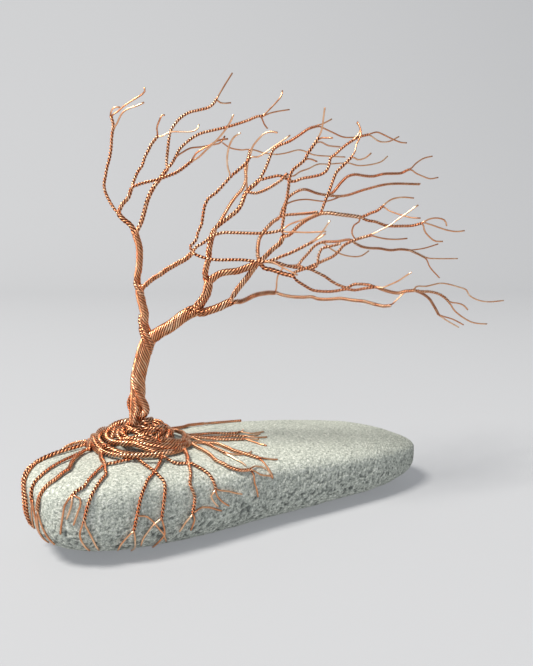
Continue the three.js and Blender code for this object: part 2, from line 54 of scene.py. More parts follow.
bpy.ops.mesh.primitive_uv_sphere_add(segments=320, ring_count=160, radius=1)
pebble = bpy.context.object
pebble.name = "sea_pebble"
ball = np.empty(len(pebble.data.vertices) * 3)
pebble.data.vertices.foreach_get("co", ball)
x, y, z = ball.reshape(-1, 3).T
flat = np.maximum(np.hypot(x, y), 1e-9)
bend = np.where(z > 0, top_power, under_power)
ring = flat ** (2 / bend)
u = ring * np.sign(x) * np.abs(x / flat) ** (2 / plan_power)
v = ring * np.sign(y) * np.abs(y / flat) ** (2 / plan_power)
rise = np.where(z > 0, above, below) * np.sign(z) * np.abs(z) ** (2 / bend) * (1 + taper * u) + tip * u
warped = np.stack([half_length * u, half_width * v + bow * (1 - u * u), rise + equator], 1)
warped[:, 2] = np.maximum(warped[:, 2], 0)
pebble.data.vertices.foreach_set("co", (warped / 1000).ravel())
pebble.data.update()
remesh = pebble.modifiers.new("even", "REMESH")
remesh.mode = "VOXEL"
remesh.voxel_size = 0.00037
bpy.ops.object.modifier_apply(modifier="even")
bpy.ops.object.shade_smooth()
outward = [(vertex.co.copy(), vertex.normal.copy()) for vertex in pebble.data.vertices]
stone_skin_and_lay_shade, hollow_shade = [], []
for place, normal in outward:
    spot = place * 1000
    low = min(max((rough_below - spot.z) / rough_fade, 0), 1)
    swell = 0.3 * noise.noise(spot / 13) + 0.12 * noise.noise(spot / 4.5)
    grain = 0.07 * noise.noise(spot * 1.1) + 0.085 * noise.noise(spot * 2.2)
    pit = max(noise.noise(spot * 1.05 + Vector((40, 0, 0))) - 0.2, 0) * (0.15 + 0.75 * low)
    pit += max(noise.noise(spot * 1.9 + Vector((0, 70, 0))) - 0.15, 0) * (0.15 + 0.55 * low)
    moved = place + normal * (swell + grain - pit) / 1000
    # Painted shade: darkens the stone's colour in its pits and in the hollows of its grain, more on the
    # rough lower sides
    hollow_shade.append(min((pit * 3 + max(-grain, 0) * 6) * (0.2 + 0.9 * low), 0.8))
    stone_skin_and_lay_shade += [moved.x, moved.y, max(moved.z, 0)]
pebble.data.vertices.foreach_set("co", stone_skin_and_lay_shade)
pebble.data.attributes.new("hollow_shade", "FLOAT", "POINT").data.foreach_set("value", hollow_shade)
pebble.data.update()
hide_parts("pebble")
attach(pebble, "root")

# --------------------------------------------------------------------------------------------------------
# The tree. Sixty-one lengths of soft 0.4 mm copper wire, twisted by hand to the left. They are one rope
# in the trunk, part into thinner ropes, threes and pairs above it, and into the roots below it. Nothing
# is soldered. A limb is the length of a rope between two forks. It is laid out by the places its middle
# passes through, and its wires lie round that middle in rings, turning as they go. At a fork each wire
# goes to the limb on its own side.
# --------------------------------------------------------------------------------------------------------
wire = 0.4
foot = np.array([-26.0, 6.0, 0.0])
turned = math.radians(33)
to_right = np.array([math.cos(turned), -math.sin(turned), 0])
to_back = np.array([math.sin(turned), math.cos(turned), 0])
eye = 6 * to_right - 174.7 * to_back + np.array([0, 0, 70.3])
eye_distance = to_back @ (foot - eye)


def in_crown(right, up, back):
    """A place in the crown: how far right of the foot and how high it looks from the eye, and how far
    back it is.
    """
    front = foot + to_right * right + np.array([0, 0, up])
    return eye + (front - eye) * (1 + back / eye_distance)


def from_eye(place):
    """The opposite of in_crown."""
    scale = to_back @ (place - eye) / eye_distance
    front = eye + (place - eye) / scale
    return (front - foot) @ to_right, front[2], (scale - 1) * eye_distance


def rings(count):
    """Where the wires of a rope lie round its middle: [distance, angle] of each, from the outermost ring
    inwards.
    """
    if count < 4:
        out = [0, wire / 2, 0.6 * wire][count - 1]
        return np.array([[out, 2 * math.pi * k / count] for k in range(count)])
    out = wire / 2 * math.sqrt(count / 0.75) - wire / 2
    places, left, slant = [], count, 1.45 if count < 10 else 1.62
    while left:
        here = min(left, max(int(2 * math.pi * out / (slant * wire)), 3)) if out > wire / 2 else left
        places += [[out, 2 * math.pi * k / here + out] for k in range(here)]
        left, out, slant = left - here, max(out - wire, 0.02), 1
    return np.array(places)


def through(points, before, step):
    """A smooth line through points, sampled evenly. It sets off as if it had come from the point before.
    """
    points = [np.asarray(p, float) for p in points]
    points = [p for k, p in enumerate(points) if k == 0 or np.linalg.norm(p - points[k - 1]) > 0.05]
    first = before if before is not None else 2 * points[0] - points[1]
    full = [first, *points, 2 * points[-1] - points[-2]]
    dense = [points[0]]
    for p0, p1, p2, p3 in zip(full, full[1:], full[2:], full[3:]):
        t0 = 0.0
        t1 = t0 + max(np.linalg.norm(p1 - p0), 1e-3) ** 0.5
        t2 = t1 + max(np.linalg.norm(p2 - p1), 1e-3) ** 0.5
        t3 = t2 + max(np.linalg.norm(p3 - p2), 1e-3) ** 0.5
        for t in np.linspace(t1, t2, 17)[1:]:
            a1 = p0 + (p1 - p0) * (t - t0) / (t1 - t0)
            a2 = p1 + (p2 - p1) * (t - t1) / (t2 - t1)
            a3 = p2 + (p3 - p2) * (t - t2) / (t3 - t2)
            b1 = a1 + (a2 - a1) * (t - t0) / (t2 - t0)
            b2 = a2 + (a3 - a2) * (t - t1) / (t3 - t1)
            dense.append(b1 + (b2 - b1) * (t - t1) / (t2 - t1))
    dense = np.array(dense)
    along = np.r_[0, np.cumsum(np.linalg.norm(np.diff(dense, axis=0), axis=1))]
    even = np.linspace(0, along[-1], max(int(round(along[-1] / step)), 3) + 1)
    return np.stack([np.interp(even, along, dense[:, k]) for k in range(3)], 1), even


limbs = {}
pieces = {}
trunk_wires = 61
turn_length = 7.75  # a full turn of a rope, in distances from its middle to its outer wires
snug = 1.1  # how much thicker a wire is drawn in a full rope, so that it meets its neighbours


def grow(name, piece, points, count, before=None, normal=None, inherited=None, merge=1.0):
    """Lays one limb's wires and keeps them: the middle, its frame and every wire's line."""
    slots = rings(count)
    outer = max(slots[:, 0].max(), 0.001)
    pitch = turn_length * outer * random.uniform(0.93, 1.07)
    step = 0.9 if count == 1 else min(max(pitch / 10, 0.15), 0.6)
    middle, along = through(points, before, step)
    ahead = np.gradient(middle, axis=0)
    ahead /= np.linalg.norm(ahead, axis=1)[:, None]
    side = np.array(normal if normal is not None else np.cross(ahead[0], (0.3, 0.5, 0.8)))
    sides = []
    for direction in ahead:
        side = side - direction * (side @ direction)
        side = side / np.linalg.norm(side)
        sides.append(side)
    sides = np.array(sides)
    others = np.cross(ahead, sides)
    turn = -2 * math.pi * along / pitch if count > 1 else 0 * along
    laid = np.empty((count, len(middle), 3))
    free = list(range(count))
    starts = {}
    for own in inherited if inherited is not None else []:
        flat_own = np.array([own @ sides[0], own @ others[0]])
        spots = [slots[k, 0] * np.array([math.cos(slots[k, 1]), math.sin(slots[k, 1])]) for k in free]
        best = int(np.argmin([np.linalg.norm(flat_own - spot) for spot in spots]))
        starts[free.pop(best)] = flat_own
    reach = min(merge, 0.7 * along[-1])
    blend = np.clip(along / reach, 0, 1)
    blend = blend * blend * (3 - 2 * blend)
    for k in range(count):
        out, angle = slots[k]
        loose = 1 + (0.03 * math.sin(random.uniform(0, 6)) if count > 5 else 0)
        a, b = loose * out * np.cos(angle + turn), loose * out * np.sin(angle + turn)
        if k in starts:
            a0, b0 = starts[k]
            a = (1 - blend) * (a0 * np.cos(turn) - b0 * np.sin(turn)) + blend * a
            b = (1 - blend) * (a0 * np.sin(turn) + b0 * np.cos(turn)) + blend * b
        laid[k] = middle + a[:, None] * sides + b[:, None] * others
    limbs[name] = {"middle": middle, "sides": sides, "wires": laid, "outer": outer + wire / 2}
    whole = blend if count > 1 else 0 * blend
    pieces.setdefault(piece, []).extend((line, middle, whole, snug if count > 9 else 1) for line in laid)


def share(parent, at, wanted):
    """Shares out the parent's wires at a sample among the children: {child: (direction, count)} ->
    offsets.
    """
    rope = limbs[parent]
    offsets = rope["wires"][:, at] - rope["middle"][at]
    pulls = sorted(
        ((float(offset @ direction), k, child)
         for child, (direction, _) in wanted.items() for k, offset in enumerate(offsets)),
        reverse=True,
    )
    given = {child: [] for child in wanted}
    used = set()
    for _, k, child in pulls:
        if k not in used and len(given[child]) < wanted[child][1]:
            used.add(k)
            given[child].append(offsets[k])
    for child, (_, count) in wanted.items():
        while len(given[child]) < count:
            given[child].append(offsets[random.randrange(len(offsets))])
    return given


def grow_family(table, place):
    """Grows the limbs of a table, parents first. place turns a limb's entry into its points after the
    fork.
    """
    for parent in table:
        ends = {name: place(name, parent) for name, limb in table.items() if limb[0] == parent}
        for at in sorted({at for at, _ in ends.values()}):
            here = {name: points for name, (where, points) in ends.items() if where == at}
            rope = limbs[parent]
            centre = rope["middle"][at]
            wanted = {}
            for name, points in here.items():
                lead = np.asarray(points[min(1, len(points) - 1)]) - centre
                wanted[name] = (lead / np.linalg.norm(lead), table[name][2])
            given = share(parent, at, wanted)
            for name, points in here.items():
                back_off = max(at - max(int(3 / np.linalg.norm(rope["middle"][1] - rope["middle"][0])),
                    1), 0)
                grow(
                    name, table[name][1], [centre, *points], table[name][2],
                        before=rope["middle"][back_off],
                    normal=rope["sides"][at], inherited=given[name], merge=1.5 * rope["outer"] + 0.7,
                )


# --------------------------------------------------------------------------------------------------------
# The crown. Each limb: the limb it leaves, its piece, its wires, the places its middle passes [right, up]
# after the fork, how far back it gets along the way, and for a twig that leaves part way, where it
# leaves.
# --------------------------------------------------------------------------------------------------------
trunk_run = [(-0.5, 25.4), (-0.3, 29.2), (0, 32.4), (0.1, 36), (1, 40), (1.8, 43), (2.9, 45.8)]
crown = {
    "left_stem": ("trunk", "stem", 20, [(2.2, 48.4), (1.9, 50), (2.1, 51.8), (1.55, 54.2),
        (1.1, 56.6), (1, 58.1)], [0]),
    "right_limb": ("trunk", "rising", 41, [(4.6, 46.9), (5.9, 47.7), (8.4, 49.1), (10.8, 51),
        (12.9, 52.3), (14.4, 52.8)], [0]),
    "left_stem_top": ("left_stem", "stem", 13, [(0.5, 60), (1, 62.7), (1.2, 65), (1.2, 67.7),
        (0.4, 70.6)], [0]),
    "left_fork": ("left_stem_top", "stem", 8, [(-0.7, 72.8), (-2.2, 74), (-3.4, 75.3)], [0]),
    "left_bough": ("left_fork", "stem", 2, [(-4.5, 76.7), (-5.6, 78.6), (-6.4, 80.5), (-6.6, 82.1),
        (-6.2, 84.1), (-5.8, 86), (-5.1, 88.3), (-4.7, 90.5), (-4.5, 92.8), (-4.2, 94.4)], [1, 2, 2]),
    "left_bough_a": ("left_bough", "stem", 2, [(-4.1, 95.7), (-4.5, 97.4)], [2]),
    "left_bough_a1": ("left_bough_a", "stem", 1, [(-2.9, 98.5), (-1.5, 99.7), (0.4, 100.9),
        (2.3, 102), (3.3, 102.8), (3.3, 103.8)], [2]),
    "left_bough_a2": ("left_bough_a", "stem", 1, [(-4.4, 98.7), (-3.7, 99.4), (-2.4, 99.4)], [2]),
    "left_bough_b": ("left_bough", "stem", 1, [(-3.1, 96), (-2.4, 97.5), (-1.3, 98.7), (0.3, 99.4),
        (1.9, 99.9), (3.1, 100.5)], [2]),
    "left_inner_bough": ("left_fork", "stem", 5, [(-3.1, 76.4), (-2.4, 77.7), (-1.2, 78.9),
        (-0.7, 80), (-0.3, 81.2)], [0]),
    "left_spray": ("left_inner_bough", "stem", 2, [(0.4, 83.1), (1.3, 85), (2.3, 86.4), (3, 88.3),
        (3.9, 89.9), (4.6, 91.2), (5.5, 92.3), (6.1, 93)], [2, 3, 3]),
    "left_spray_a": ("left_spray", "stem", 1, [(5.9, 94.7), (6.4, 96.2), (7.4, 97.9), (7.8, 97.7)], [3]),
    "left_spray_b": ("left_spray", "stem", 1, [(7.1, 93), (8.8, 93.9), (11.1, 94), (13.7, 94),
        (15.2, 94.6), (15.6, 95.6)], [4]),
    "left_front_spray": ("left_inner_bough", "stem", 2, [(1.2, 82), (3.2, 82.6), (5.9, 83.2),
        (7.9, 83.9), (10.2, 84.8), (11.9, 85.9), (13.9, 87.5)], [-2, -4, -6]),
    "left_front_a": ("left_front_spray", "stem", 1, [(14.6, 88.9), (15.9, 89.9), (17.9, 90.9),
        (19.9, 92), (22.2, 92.4)], [-6, -4]),
    "left_front_b": ("left_front_spray", "stem", 1, [(15.2, 88.1), (17.2, 89.9), (19.6, 92.1),
        (21.6, 94.4), (23, 96.6), (23.5, 97.8)], [-8, -10]),
    "tall_bough": ("left_stem_top", "stem", 6, [(1.1, 72), (2, 74), (2.7, 76.3), (3.4, 78.6),
        (4.3, 80.5), (5.3, 82.1), (6.7, 83.8), (7.9, 85.4)], [2, 4]),
    "top_spray": ("tall_bough", "stem", 2, [(8, 87.4), (8.3, 89.9), (8.6, 92.2), (9, 94), (10, 95.6),
        (11.4, 97.1), (13.2, 98.2), (15.5, 98.8), (17.8, 99.4), (18.9, 100.2), (19.7, 101.3)],
        [6, 9, 14]),
    "top_spray_a": ("top_spray", "stem", 1, [(20.7, 102.9), (21.9, 104.8), (23.3, 106.9)], [20]),
    "top_spray_b": ("top_spray", "stem", 1, [(20.2, 100.6), (21.2, 100.3), (22.9, 100.4)], [18]),
    "tall_spray": ("tall_bough", "stem", 2, [(9.2, 86.9), (10.2, 88.6), (10.9, 89.9), (12.3, 91.3),
        (14.3, 92.8), (15.9, 93.6), (18.2, 94.2), (20.5, 94.7), (22.9, 95.3), (25.5, 96.1),
        (27, 96.6), (29, 97.4), (30.2, 97.5)], [9, 14, 20]),
    "tall_spray_a": ("tall_spray", "stem", 1, [(31.6, 98.8), (33.2, 100.4), (34.5, 102),
        (34.7, 103.1)], [24]),
    "tall_spray_b": ("tall_spray", "stem", 1, [(32.2, 98.2), (34.2, 98.6), (36.3, 98.9)], [24]),
    "tall_spray_c": ("tall_spray", "stem", 1, [(30.6, 95.6), (31.3, 94.7)], [22], (29.6, 97.3)),
    "tall_back_twig": ("tall_spray", "stem", 1, [(11.6, 89.3), (13.5, 90.3), (16.1, 90.6),
        (18.8, 91.1), (20.4, 91.5), (21.5, 93)], [11, 14], (10, 88.2)),
    "front_bough": ("left_stem", "front", 7, [(2, 58.3), (3.1, 59.3), (4.2, 60.2), (5.9, 61.2),
        (7.6, 62.4), (10.2, 63.9), (12.3, 65.1), (13.5, 66.2)], [-2, -4, -5]),
    "front_spray": ("front_bough", "front", 2, [(13.2, 67.7), (14.5, 69.3), (15.1, 71.3), (15.9, 73),
        (16.3, 75.3), (16.7, 77.2), (17.6, 78.9), (19.3, 80.2), (20.6, 81.5), (22.7, 83.8)],
        [-5, -6, -8]),
    "front_spray_a": ("front_spray", "front", 1, [(22.1, 86), (22, 88.3), (22.5, 90.8), (23.6, 92.8),
        (25.1, 93.7)], [-10, -14]),
    "front_spray_b": ("front_spray", "front", 2, [(24.6, 85.4), (26.4, 87), (27.3, 88.4)], [-8]),
    "front_spray_c": ("front_spray_b", "front", 1, [(27.8, 90.5), (29, 92.1), (30.6, 93.6),
        (31.9, 94), (33.6, 93.8)], [-10]),
    "front_spray_d": ("front_spray_b", "front", 1, [(28.9, 88.3), (30.6, 89.2), (32.2, 90.3),
        (34.2, 91.6), (36.5, 93.2)], [-6]),
    "front_long_twig": ("front_bough", "front", 2, [(14.6, 67.7), (16.3, 68.7), (18.3, 70.2),
        (20.7, 71), (24.3, 71), (29.8, 70.9), (32.8, 71.2), (34.8, 71.7)], [-4, -4]),
    "front_long_a": ("front_long_twig", "front", 1, [(35.5, 71.2), (37.1, 71.2), (40.8, 71.1),
        (45, 71.3)], [-5]),
    "front_long_b": ("front_long_twig", "front", 1, [(36.2, 72.8), (38.2, 73.6), (40.3, 74.3),
        (43, 75.6)], [-2]),
    "front_low_twig": ("front_bough", "front", 2, [(14.9, 65.7), (17.2, 65), (19.6, 64.7),
        (22.3, 64.7), (25.3, 64.7), (28.3, 64.4), (30.6, 64.3), (32.6, 64.7), (34.6, 65.5),
        (36.7, 66.3), (39.2, 67.5), (41.5, 68.7)], [-5, -6]),
    "front_low_a": ("front_low_twig", "front", 1, [(43.3, 70.2), (44.7, 72), (45.9, 73.8)], [-8]),
    "front_low_b": ("front_low_twig", "front", 1, [(43.3, 69.7), (44.9, 70.8)], [-6]),
    "front_low_c": ("front_low_twig", "front", 1, [(32.3, 64.3), (34.7, 63), (36.7, 62),
        (38.4, 61.1)], [-6], (30.6, 64.3)),
    "right_bough": ("right_limb", "rising", 23, [(15.2, 54.1), (16, 55.3), (16.8, 56.6), (17.2, 58),
        (17.4, 59.5)], [0]),
    "rising_bough": ("right_bough", "rising", 10, [(16.6, 61), (16.9, 63), (17.4, 64.9), (17.6, 67),
        (18, 69.2), (18.7, 71.3)], [0, 1]),
    "rising_back_spray": ("rising_bough", "rising", 4, [(20, 73.3), (21.4, 75.6), (22.8, 77.9),
        (24.1, 79.6), (25.5, 81.2), (26.3, 83.4), (26.2, 85.7), (26.8, 88), (27.3, 89.9)],
        [6, 12, 16, 20]),
    "rising_back_a": ("rising_back_spray", "rising", 1, [(25.3, 89.9), (22.7, 90.4), (21, 91.5)], [30]),
    "rising_back_b": ("rising_back_spray", "rising", 1, [(30.6, 89.2), (33.2, 88.9), (35.5, 89.2),
        (38.8, 89.9), (42, 88.8), (45.3, 88.5), (49.2, 88.3)], [30, 38]),
    "rising_spray": ("rising_bough", "rising", 6, [(19.7, 72.6), (21, 73.6), (22.6, 74.8), (24, 75.9),
        (25, 77.2), (25.7, 78.9), (26.4, 80.5), (28.3, 82.1), (29, 82.8)], [1, 4]),
    "rising_spray_a": ("rising_spray", "rising", 1, [(26.4, 84), (26.7, 86.6)], [-3], (26.4, 80.5)),
    "rising_spray_b": ("rising_spray", "rising", 2, [(28.6, 80.1), (30.9, 80.9), (33.2, 82.2),
        (34.7, 83.3), (35.9, 84.6)], [-4], (26.2, 80)),
    "upper_spray": ("rising_spray", "rising", 2, [(30.3, 84.7), (31.2, 86.6), (31.8, 88.2),
        (32.6, 89.9), (33.9, 90.9), (36.2, 91.8), (38.8, 93.4), (40.8, 94.7), (42.8, 95.3)], [6, 10, 18]),
    "upper_spray_a": ("upper_spray", "rising", 1, [(44.1, 94.8), (46.1, 93.9), (48.7, 92.8),
        (51.5, 92.7)], [28]),
    "upper_spray_b": ("upper_spray", "rising", 1, [(44.5, 96), (46, 96.8)], [20]),
    "upper_long_spray": ("rising_spray", "rising", 2, [(30.2, 83.3), (32.2, 83.8), (34.2, 84.1),
        (36.2, 83.2), (37.2, 82.8), (39.4, 83.5), (41.7, 83.9), (43.7, 84.4), (44.9, 85.2),
        (45.6, 86.7), (45.8, 88), (47.1, 89.1), (48.4, 90.3), (50, 91.5), (52.5, 92.9), (54.6, 93.4)],
        [9, 14, 22]),
    "upper_long_a": ("upper_long_spray", "rising", 1, [(56.4, 93.9), (57.8, 93.4), (59.9, 92.4),
        (62, 91.6), (63.3, 91.5)], [30]),
    "upper_long_b": ("upper_long_spray", "rising", 1, [(55.3, 92.9), (57.1, 91.8), (59.2, 91.8),
        (61.5, 92.9)], [30]),
    "upper_long_c": ("upper_long_spray", "rising", 1, [(52.6, 94.2), (52.4, 95.2), (51.8, 96)], [20],
        (51, 92.2)),
    "upper_back_twig": ("upper_long_spray", "rising", 1, [(37.2, 84), (38.8, 85), (40.8, 85.7),
        (43, 86.7), (45.3, 86.7), (48, 86.9), (50.2, 86.9), (52.2, 86.4), (55.1, 86.6), (57.6, 87.3),
        (59, 88.5)], [18, 28, 36], (34.2, 84.1)),
    "leaning_bough": ("right_bough", "middle", 13, [(18.7, 60.6), (20.2, 61.5), (22.2, 61.9),
        (24.3, 62.1), (26, 62.7), (27.7, 63.4), (29.2, 64.1)], [0, -1]),
    "dark_bough": ("leaning_bough", "middle", 7, [(30.5, 65.2), (32.3, 67), (34.3, 68.7), (34.9, 70)],
        [-2]),
    "dark_spray": ("dark_bough", "middle", 2, [(34.7, 71.7), (35, 74), (35.3, 76.3), (35.8, 78.9),
        (36.2, 81.5), (36.5, 83.8), (37.2, 85.4), (38.8, 86.7), (40, 87.8), (40.6, 89.1),
        (41.8, 90.8), (43, 92.5)], [-2, -4]),
    "dark_spray_a": ("dark_spray", "middle", 1, [(43.8, 94.7), (44.1, 96.9), (44.4, 99.3)], [-8]),
    "dark_spray_b": ("dark_spray", "middle", 1, [(44.7, 92.6), (46.3, 92.6)], [-6]),
    "dark_spray_c": ("dark_spray", "middle", 1, [(41.4, 87.8), (42.7, 87.3)], [0], (40, 87.8)),
    "dark_spray_d": ("dark_spray", "middle", 1, [(43.4, 91.7), (45.3, 90.9), (48, 90.6)], [12],
        (41.8, 90.8)),
    "middle_bough": ("dark_bough", "middle", 4, [(35.7, 70.2), (37, 71), (37.7, 71.8), (39, 73),
        (40.6, 74.1), (42.3, 74.9), (43.6, 75.4)], [0, 1]),
    "middle_rising_spray": ("middle_bough", "middle", 2, [(44, 76.4), (45, 79.1), (45.7, 80.8),
        (46.4, 82.8), (47.3, 84.9), (49, 86.6), (50.8, 88.4)], [4, 6]),
    "middle_rising_a": ("middle_rising_spray", "middle", 1, [(51.5, 89.6), (51.7, 91), (52.3, 92.2),
        (52.8, 93.4), (52.6, 94.8), (51.9, 96.2)], [10]),
    "middle_rising_b": ("middle_rising_spray", "middle", 1, [(52.2, 87.7), (54, 88.2), (55.2, 89.2)],
        [8]),
    "middle_back_spray": ("middle_rising_spray", "middle", 2, [(46.7, 80.5), (48.3, 82.5), (50, 84),
        (51.6, 84.4), (53.8, 84.1), (55.8, 84), (58, 84.5), (60.1, 84.6), (62.2, 84.7), (63.7, 85.4),
        (64.4, 85.6)], [14, 20, 30], (45, 79.1)),
    "middle_back_a": ("middle_back_spray", "middle", 1, [(65.5, 86.8), (67.3, 88), (69.3, 88.5)], [36]),
    "middle_back_b": ("middle_back_spray", "middle", 1, [(65.6, 84.7), (67.2, 84), (69, 83.4),
        (70.8, 83.7)], [36]),
    "middle_spray": ("middle_bough", "middle", 5, [(45.6, 75.6), (47.9, 75.3), (50.6, 75),
        (52.7, 74.7)], [2, 4]),
    "middle_upper_twig": ("middle_spray", "middle", 2, [(54.1, 75), (55.4, 75.6), (56.8, 76.1),
        (58.2, 77.2)], [8]),
    "middle_upper_a": ("middle_upper_twig", "middle", 1, [(59.6, 78.4), (60.7, 78.9), (62.8, 79.2),
        (65.3, 79)], [12]),
    "middle_upper_b": ("middle_upper_twig", "middle", 1, [(59.3, 76.3), (61, 75.6), (63.3, 74.9),
        (65, 74.5), (67, 74.4)], [8]),
    "middle_lower_twig": ("middle_spray", "middle", 2, [(54.7, 73.9), (56.5, 73.6), (58.7, 72.8),
        (60.1, 72.6), (62.6, 72.6), (65.2, 72.7), (67.5, 73.3)], [8, 12]),
    "middle_lower_a": ("middle_lower_twig", "middle", 1, [(69.1, 74.2), (71.2, 74.4), (72.8, 73.8),
        (73.2, 72.6)], [14]),
    "middle_lower_b": ("middle_lower_twig", "middle", 1, [(69.1, 73), (71.2, 72.3), (73.4, 71.6),
        (75.6, 71.3), (77.4, 71.5)], [16]),
    "middle_lower_c": ("middle_lower_twig", "middle", 1, [(68.1, 71.4), (69.2, 70.1), (70.6, 69.1),
        (72.4, 69)], [14]),
    "middle_link": ("middle_spray", "middle", 1, [(52.8, 73.7), (51.5, 72.7), (51.1, 70.9),
        (52, 69.4)], [10]),
    "arched_bough": ("leaning_bough", "middle", 5, [(29, 65.7), (29, 67.7), (29.4, 69.7), (30.2, 71),
        (31.3, 72.3), (32.6, 73.6), (33.9, 74.4)], [4, 8]),
    "arched_spray": ("arched_bough", "middle", 2, [(35.6, 75.1), (38.3, 75.3), (41, 75.5),
        (43, 75.8)], [8, 5]),
    "far_spray": ("arched_bough", "middle", 2, [(35, 77), (36.3, 79.3), (39.6, 81), (43.3, 80),
        (48.7, 79.5), (54, 81), (59.2, 82.2), (66.6, 82.2)], [14, 22, 32, 45]),
    "far_spray_a": ("far_spray", "middle", 1, [(37, 78.2), (40, 78.7), (45, 78.3), (48.7, 79.5)],
        [28], (35, 77)),
    "low_bough": ("leaning_bough", "low", 6, [(30.5, 62.8), (32.3, 62.4), (34.9, 61.5), (37, 61)], [-1]),
    "low_spray": ("low_bough", "low", 2, [(38.3, 59.8), (40, 58.7), (42, 57.6), (44, 57.3),
        (46.8, 57.3), (50, 57.8), (52, 57.6), (54.3, 58), (56.8, 58.3)], [1, 4]),
    "low_bright_tip": ("low_spray", "low", 1, [(58.3, 58.1), (60.1, 58.8), (62.3, 59.8), (64.2, 61.1),
        (65.3, 61.8)], [0]),
    "low_middle_spray": ("leaning_bough", "low", 2, [(31.5, 64.3), (33.3, 64.2), (36, 63.3),
        (38, 62.9), (41.5, 62.5), (42.5, 62), (44.9, 60.8), (46.6, 59.6), (48.6, 58.6), (50.2, 58.2),
        (51.7, 58.9), (53.5, 59), (55.4, 58.8), (56.8, 58.3)], [3, 5]),
    "low_tip_spray": ("low_spray", "low", 4, [(59, 57.6), (60.8, 57.1), (62.3, 56.9), (63.8, 57.3),
        (65.8, 57.5)], [8]),
    "low_near_twig": ("low_tip_spray", "low", 2, [(67.8, 57.3), (70, 57.2), (71.9, 56.7),
        (73.4, 55.8), (74.5, 54.7)], [14]),
    "low_near_a": ("low_near_twig", "low", 1, [(76.3, 54.5), (77.8, 54), (78.9, 52.9)], [16]),
    "low_near_b": ("low_near_twig", "low", 1, [(75.6, 52.9), (77.5, 51.3), (79.8, 50), (81.6, 49.6),
        (83.6, 49.5)], [18]),
    "far_tip_spray": ("low_tip_spray", "low", 1, [(66.5, 58.4), (68.9, 58.5), (72.2, 59.2), (74, 59),
        (76.2, 58.4), (78.4, 57.6), (79.1, 56.4), (81, 55.3), (83.6, 54.8), (87.3, 55.1)], [18, 26, 34]),
    "far_low_twig": ("low_tip_spray", "low", 2, [(69.4, 55.8), (70.8, 53.9), (72, 51.8)], [26]),
    "far_low_a": ("far_low_twig", "low", 1, [(73.9, 50.4), (76.9, 48.7)], [34]),
    "far_low_b": ("far_low_twig", "low", 1, [(75.5, 50.6), (78, 49.3)], [34]),
    "long_spray": ("low_bough", "low", 2, [(37.6, 61.7), (40, 62.6), (42.4, 63.6), (44.7, 64.6),
        (46.8, 65.6), (48.1, 66.8), (49.1, 68), (50.5, 68.8), (52.5, 69.6), (55.3, 70.4)], [3, 4]),
    "long_spray_a": ("long_spray", "low", 1, [(57.8, 71.7), (60, 72.8), (61.4, 73.9), (62.9, 74.9),
        (64.4, 76), (66.4, 77.4)], [4]),
    "long_spray_b": ("long_spray", "low", 1, [(57, 70), (59.1, 69.6), (61.7, 69.5), (64, 69.7)], [12]),
    "back_bough": ("leaning_bough", "low", 2, [(31.5, 64.3), (35.7, 63.4), (38.4, 63.5), (39.5, 64.8),
        (40.9, 66.3), (42.2, 67.8), (44, 68.8), (47.5, 69), (50.8, 69.4), (51.9, 68.6)], [8, 12, 12, 16]),
    "back_bough_a": ("back_bough", "low", 2, [(40.5, 62.7), (42.9, 63.3), (43.3, 65.6), (44.1, 67.3),
        (45.8, 67.8), (48.4, 68.5)], [12], (38.4, 63.5)),
    "back_bough_b": ("back_bough", "low", 1, [(46, 67.4), (48, 66.3), (50.3, 65.6), (53.2, 65.6),
        (55.1, 66.8)], [18, 26], (44, 68.8)),
    "back_spray": ("back_bough", "low", 2, [(53.3, 67.9), (55.1, 67.5), (57.6, 67.4), (60.1, 67),
        (62.7, 67.2), (64.5, 67)], [24, 32]),
    "back_spray_a": ("back_spray", "low", 2, [(66.3, 66.3), (68.5, 65.2)], [36]),
    "back_spray_b": ("back_spray", "low", 1, [(68, 67.4), (71.3, 68.4)], [42]),
    "back_spray_c": ("back_spray_a", "low", 1, [(69.6, 63), (71.9, 60.5)], [42]),
    "back_spray_d": ("back_spray_a", "low", 1, [(71, 65), (76, 65)], [42]),
    "lowest_bough": ("right_limb", "low", 18, [(15.7, 52.3), (17.7, 52.8), (19.8, 53.5), (21.8, 54.5),
        (22.8, 54.9)], [0]),
    "link_bough": ("lowest_bough", "low", 9, [(23.1, 56), (23.8, 57.2), (25.2, 59), (26.6, 60.7),
        (27.5, 62), (28.6, 63.4)], [0]),
    "lowest_limb": ("lowest_bough", "low", 8, [(24.9, 54.9), (26.6, 55.6), (28.3, 56.4), (30, 56.8),
        (31.7, 57), (33, 57)], [6, 12]),
    "lowest_rising_twig": ("lowest_limb", "low", 1, [(33.4, 57.9), (33.5, 59.6), (33.9, 61.4),
        (35, 62.8)], [10]),
    "lowest_spray": ("lowest_limb", "low", 4, [(35, 56.4), (37.4, 56), (39.8, 55.9), (41.8, 56),
        (43.2, 55.5), (45.9, 55.4), (48.6, 55.6), (51.4, 55.2), (54.3, 54.9), (56.5, 54.3),
        (58.7, 53.8), (60.6, 53.9)], [13, 11, 9]),
    "lowest_spray_a": ("lowest_spray", "low", 1, [(61.7, 55), (62.8, 56.1), (63.9, 57.1),
        (65.8, 57.5)], [9]),
}

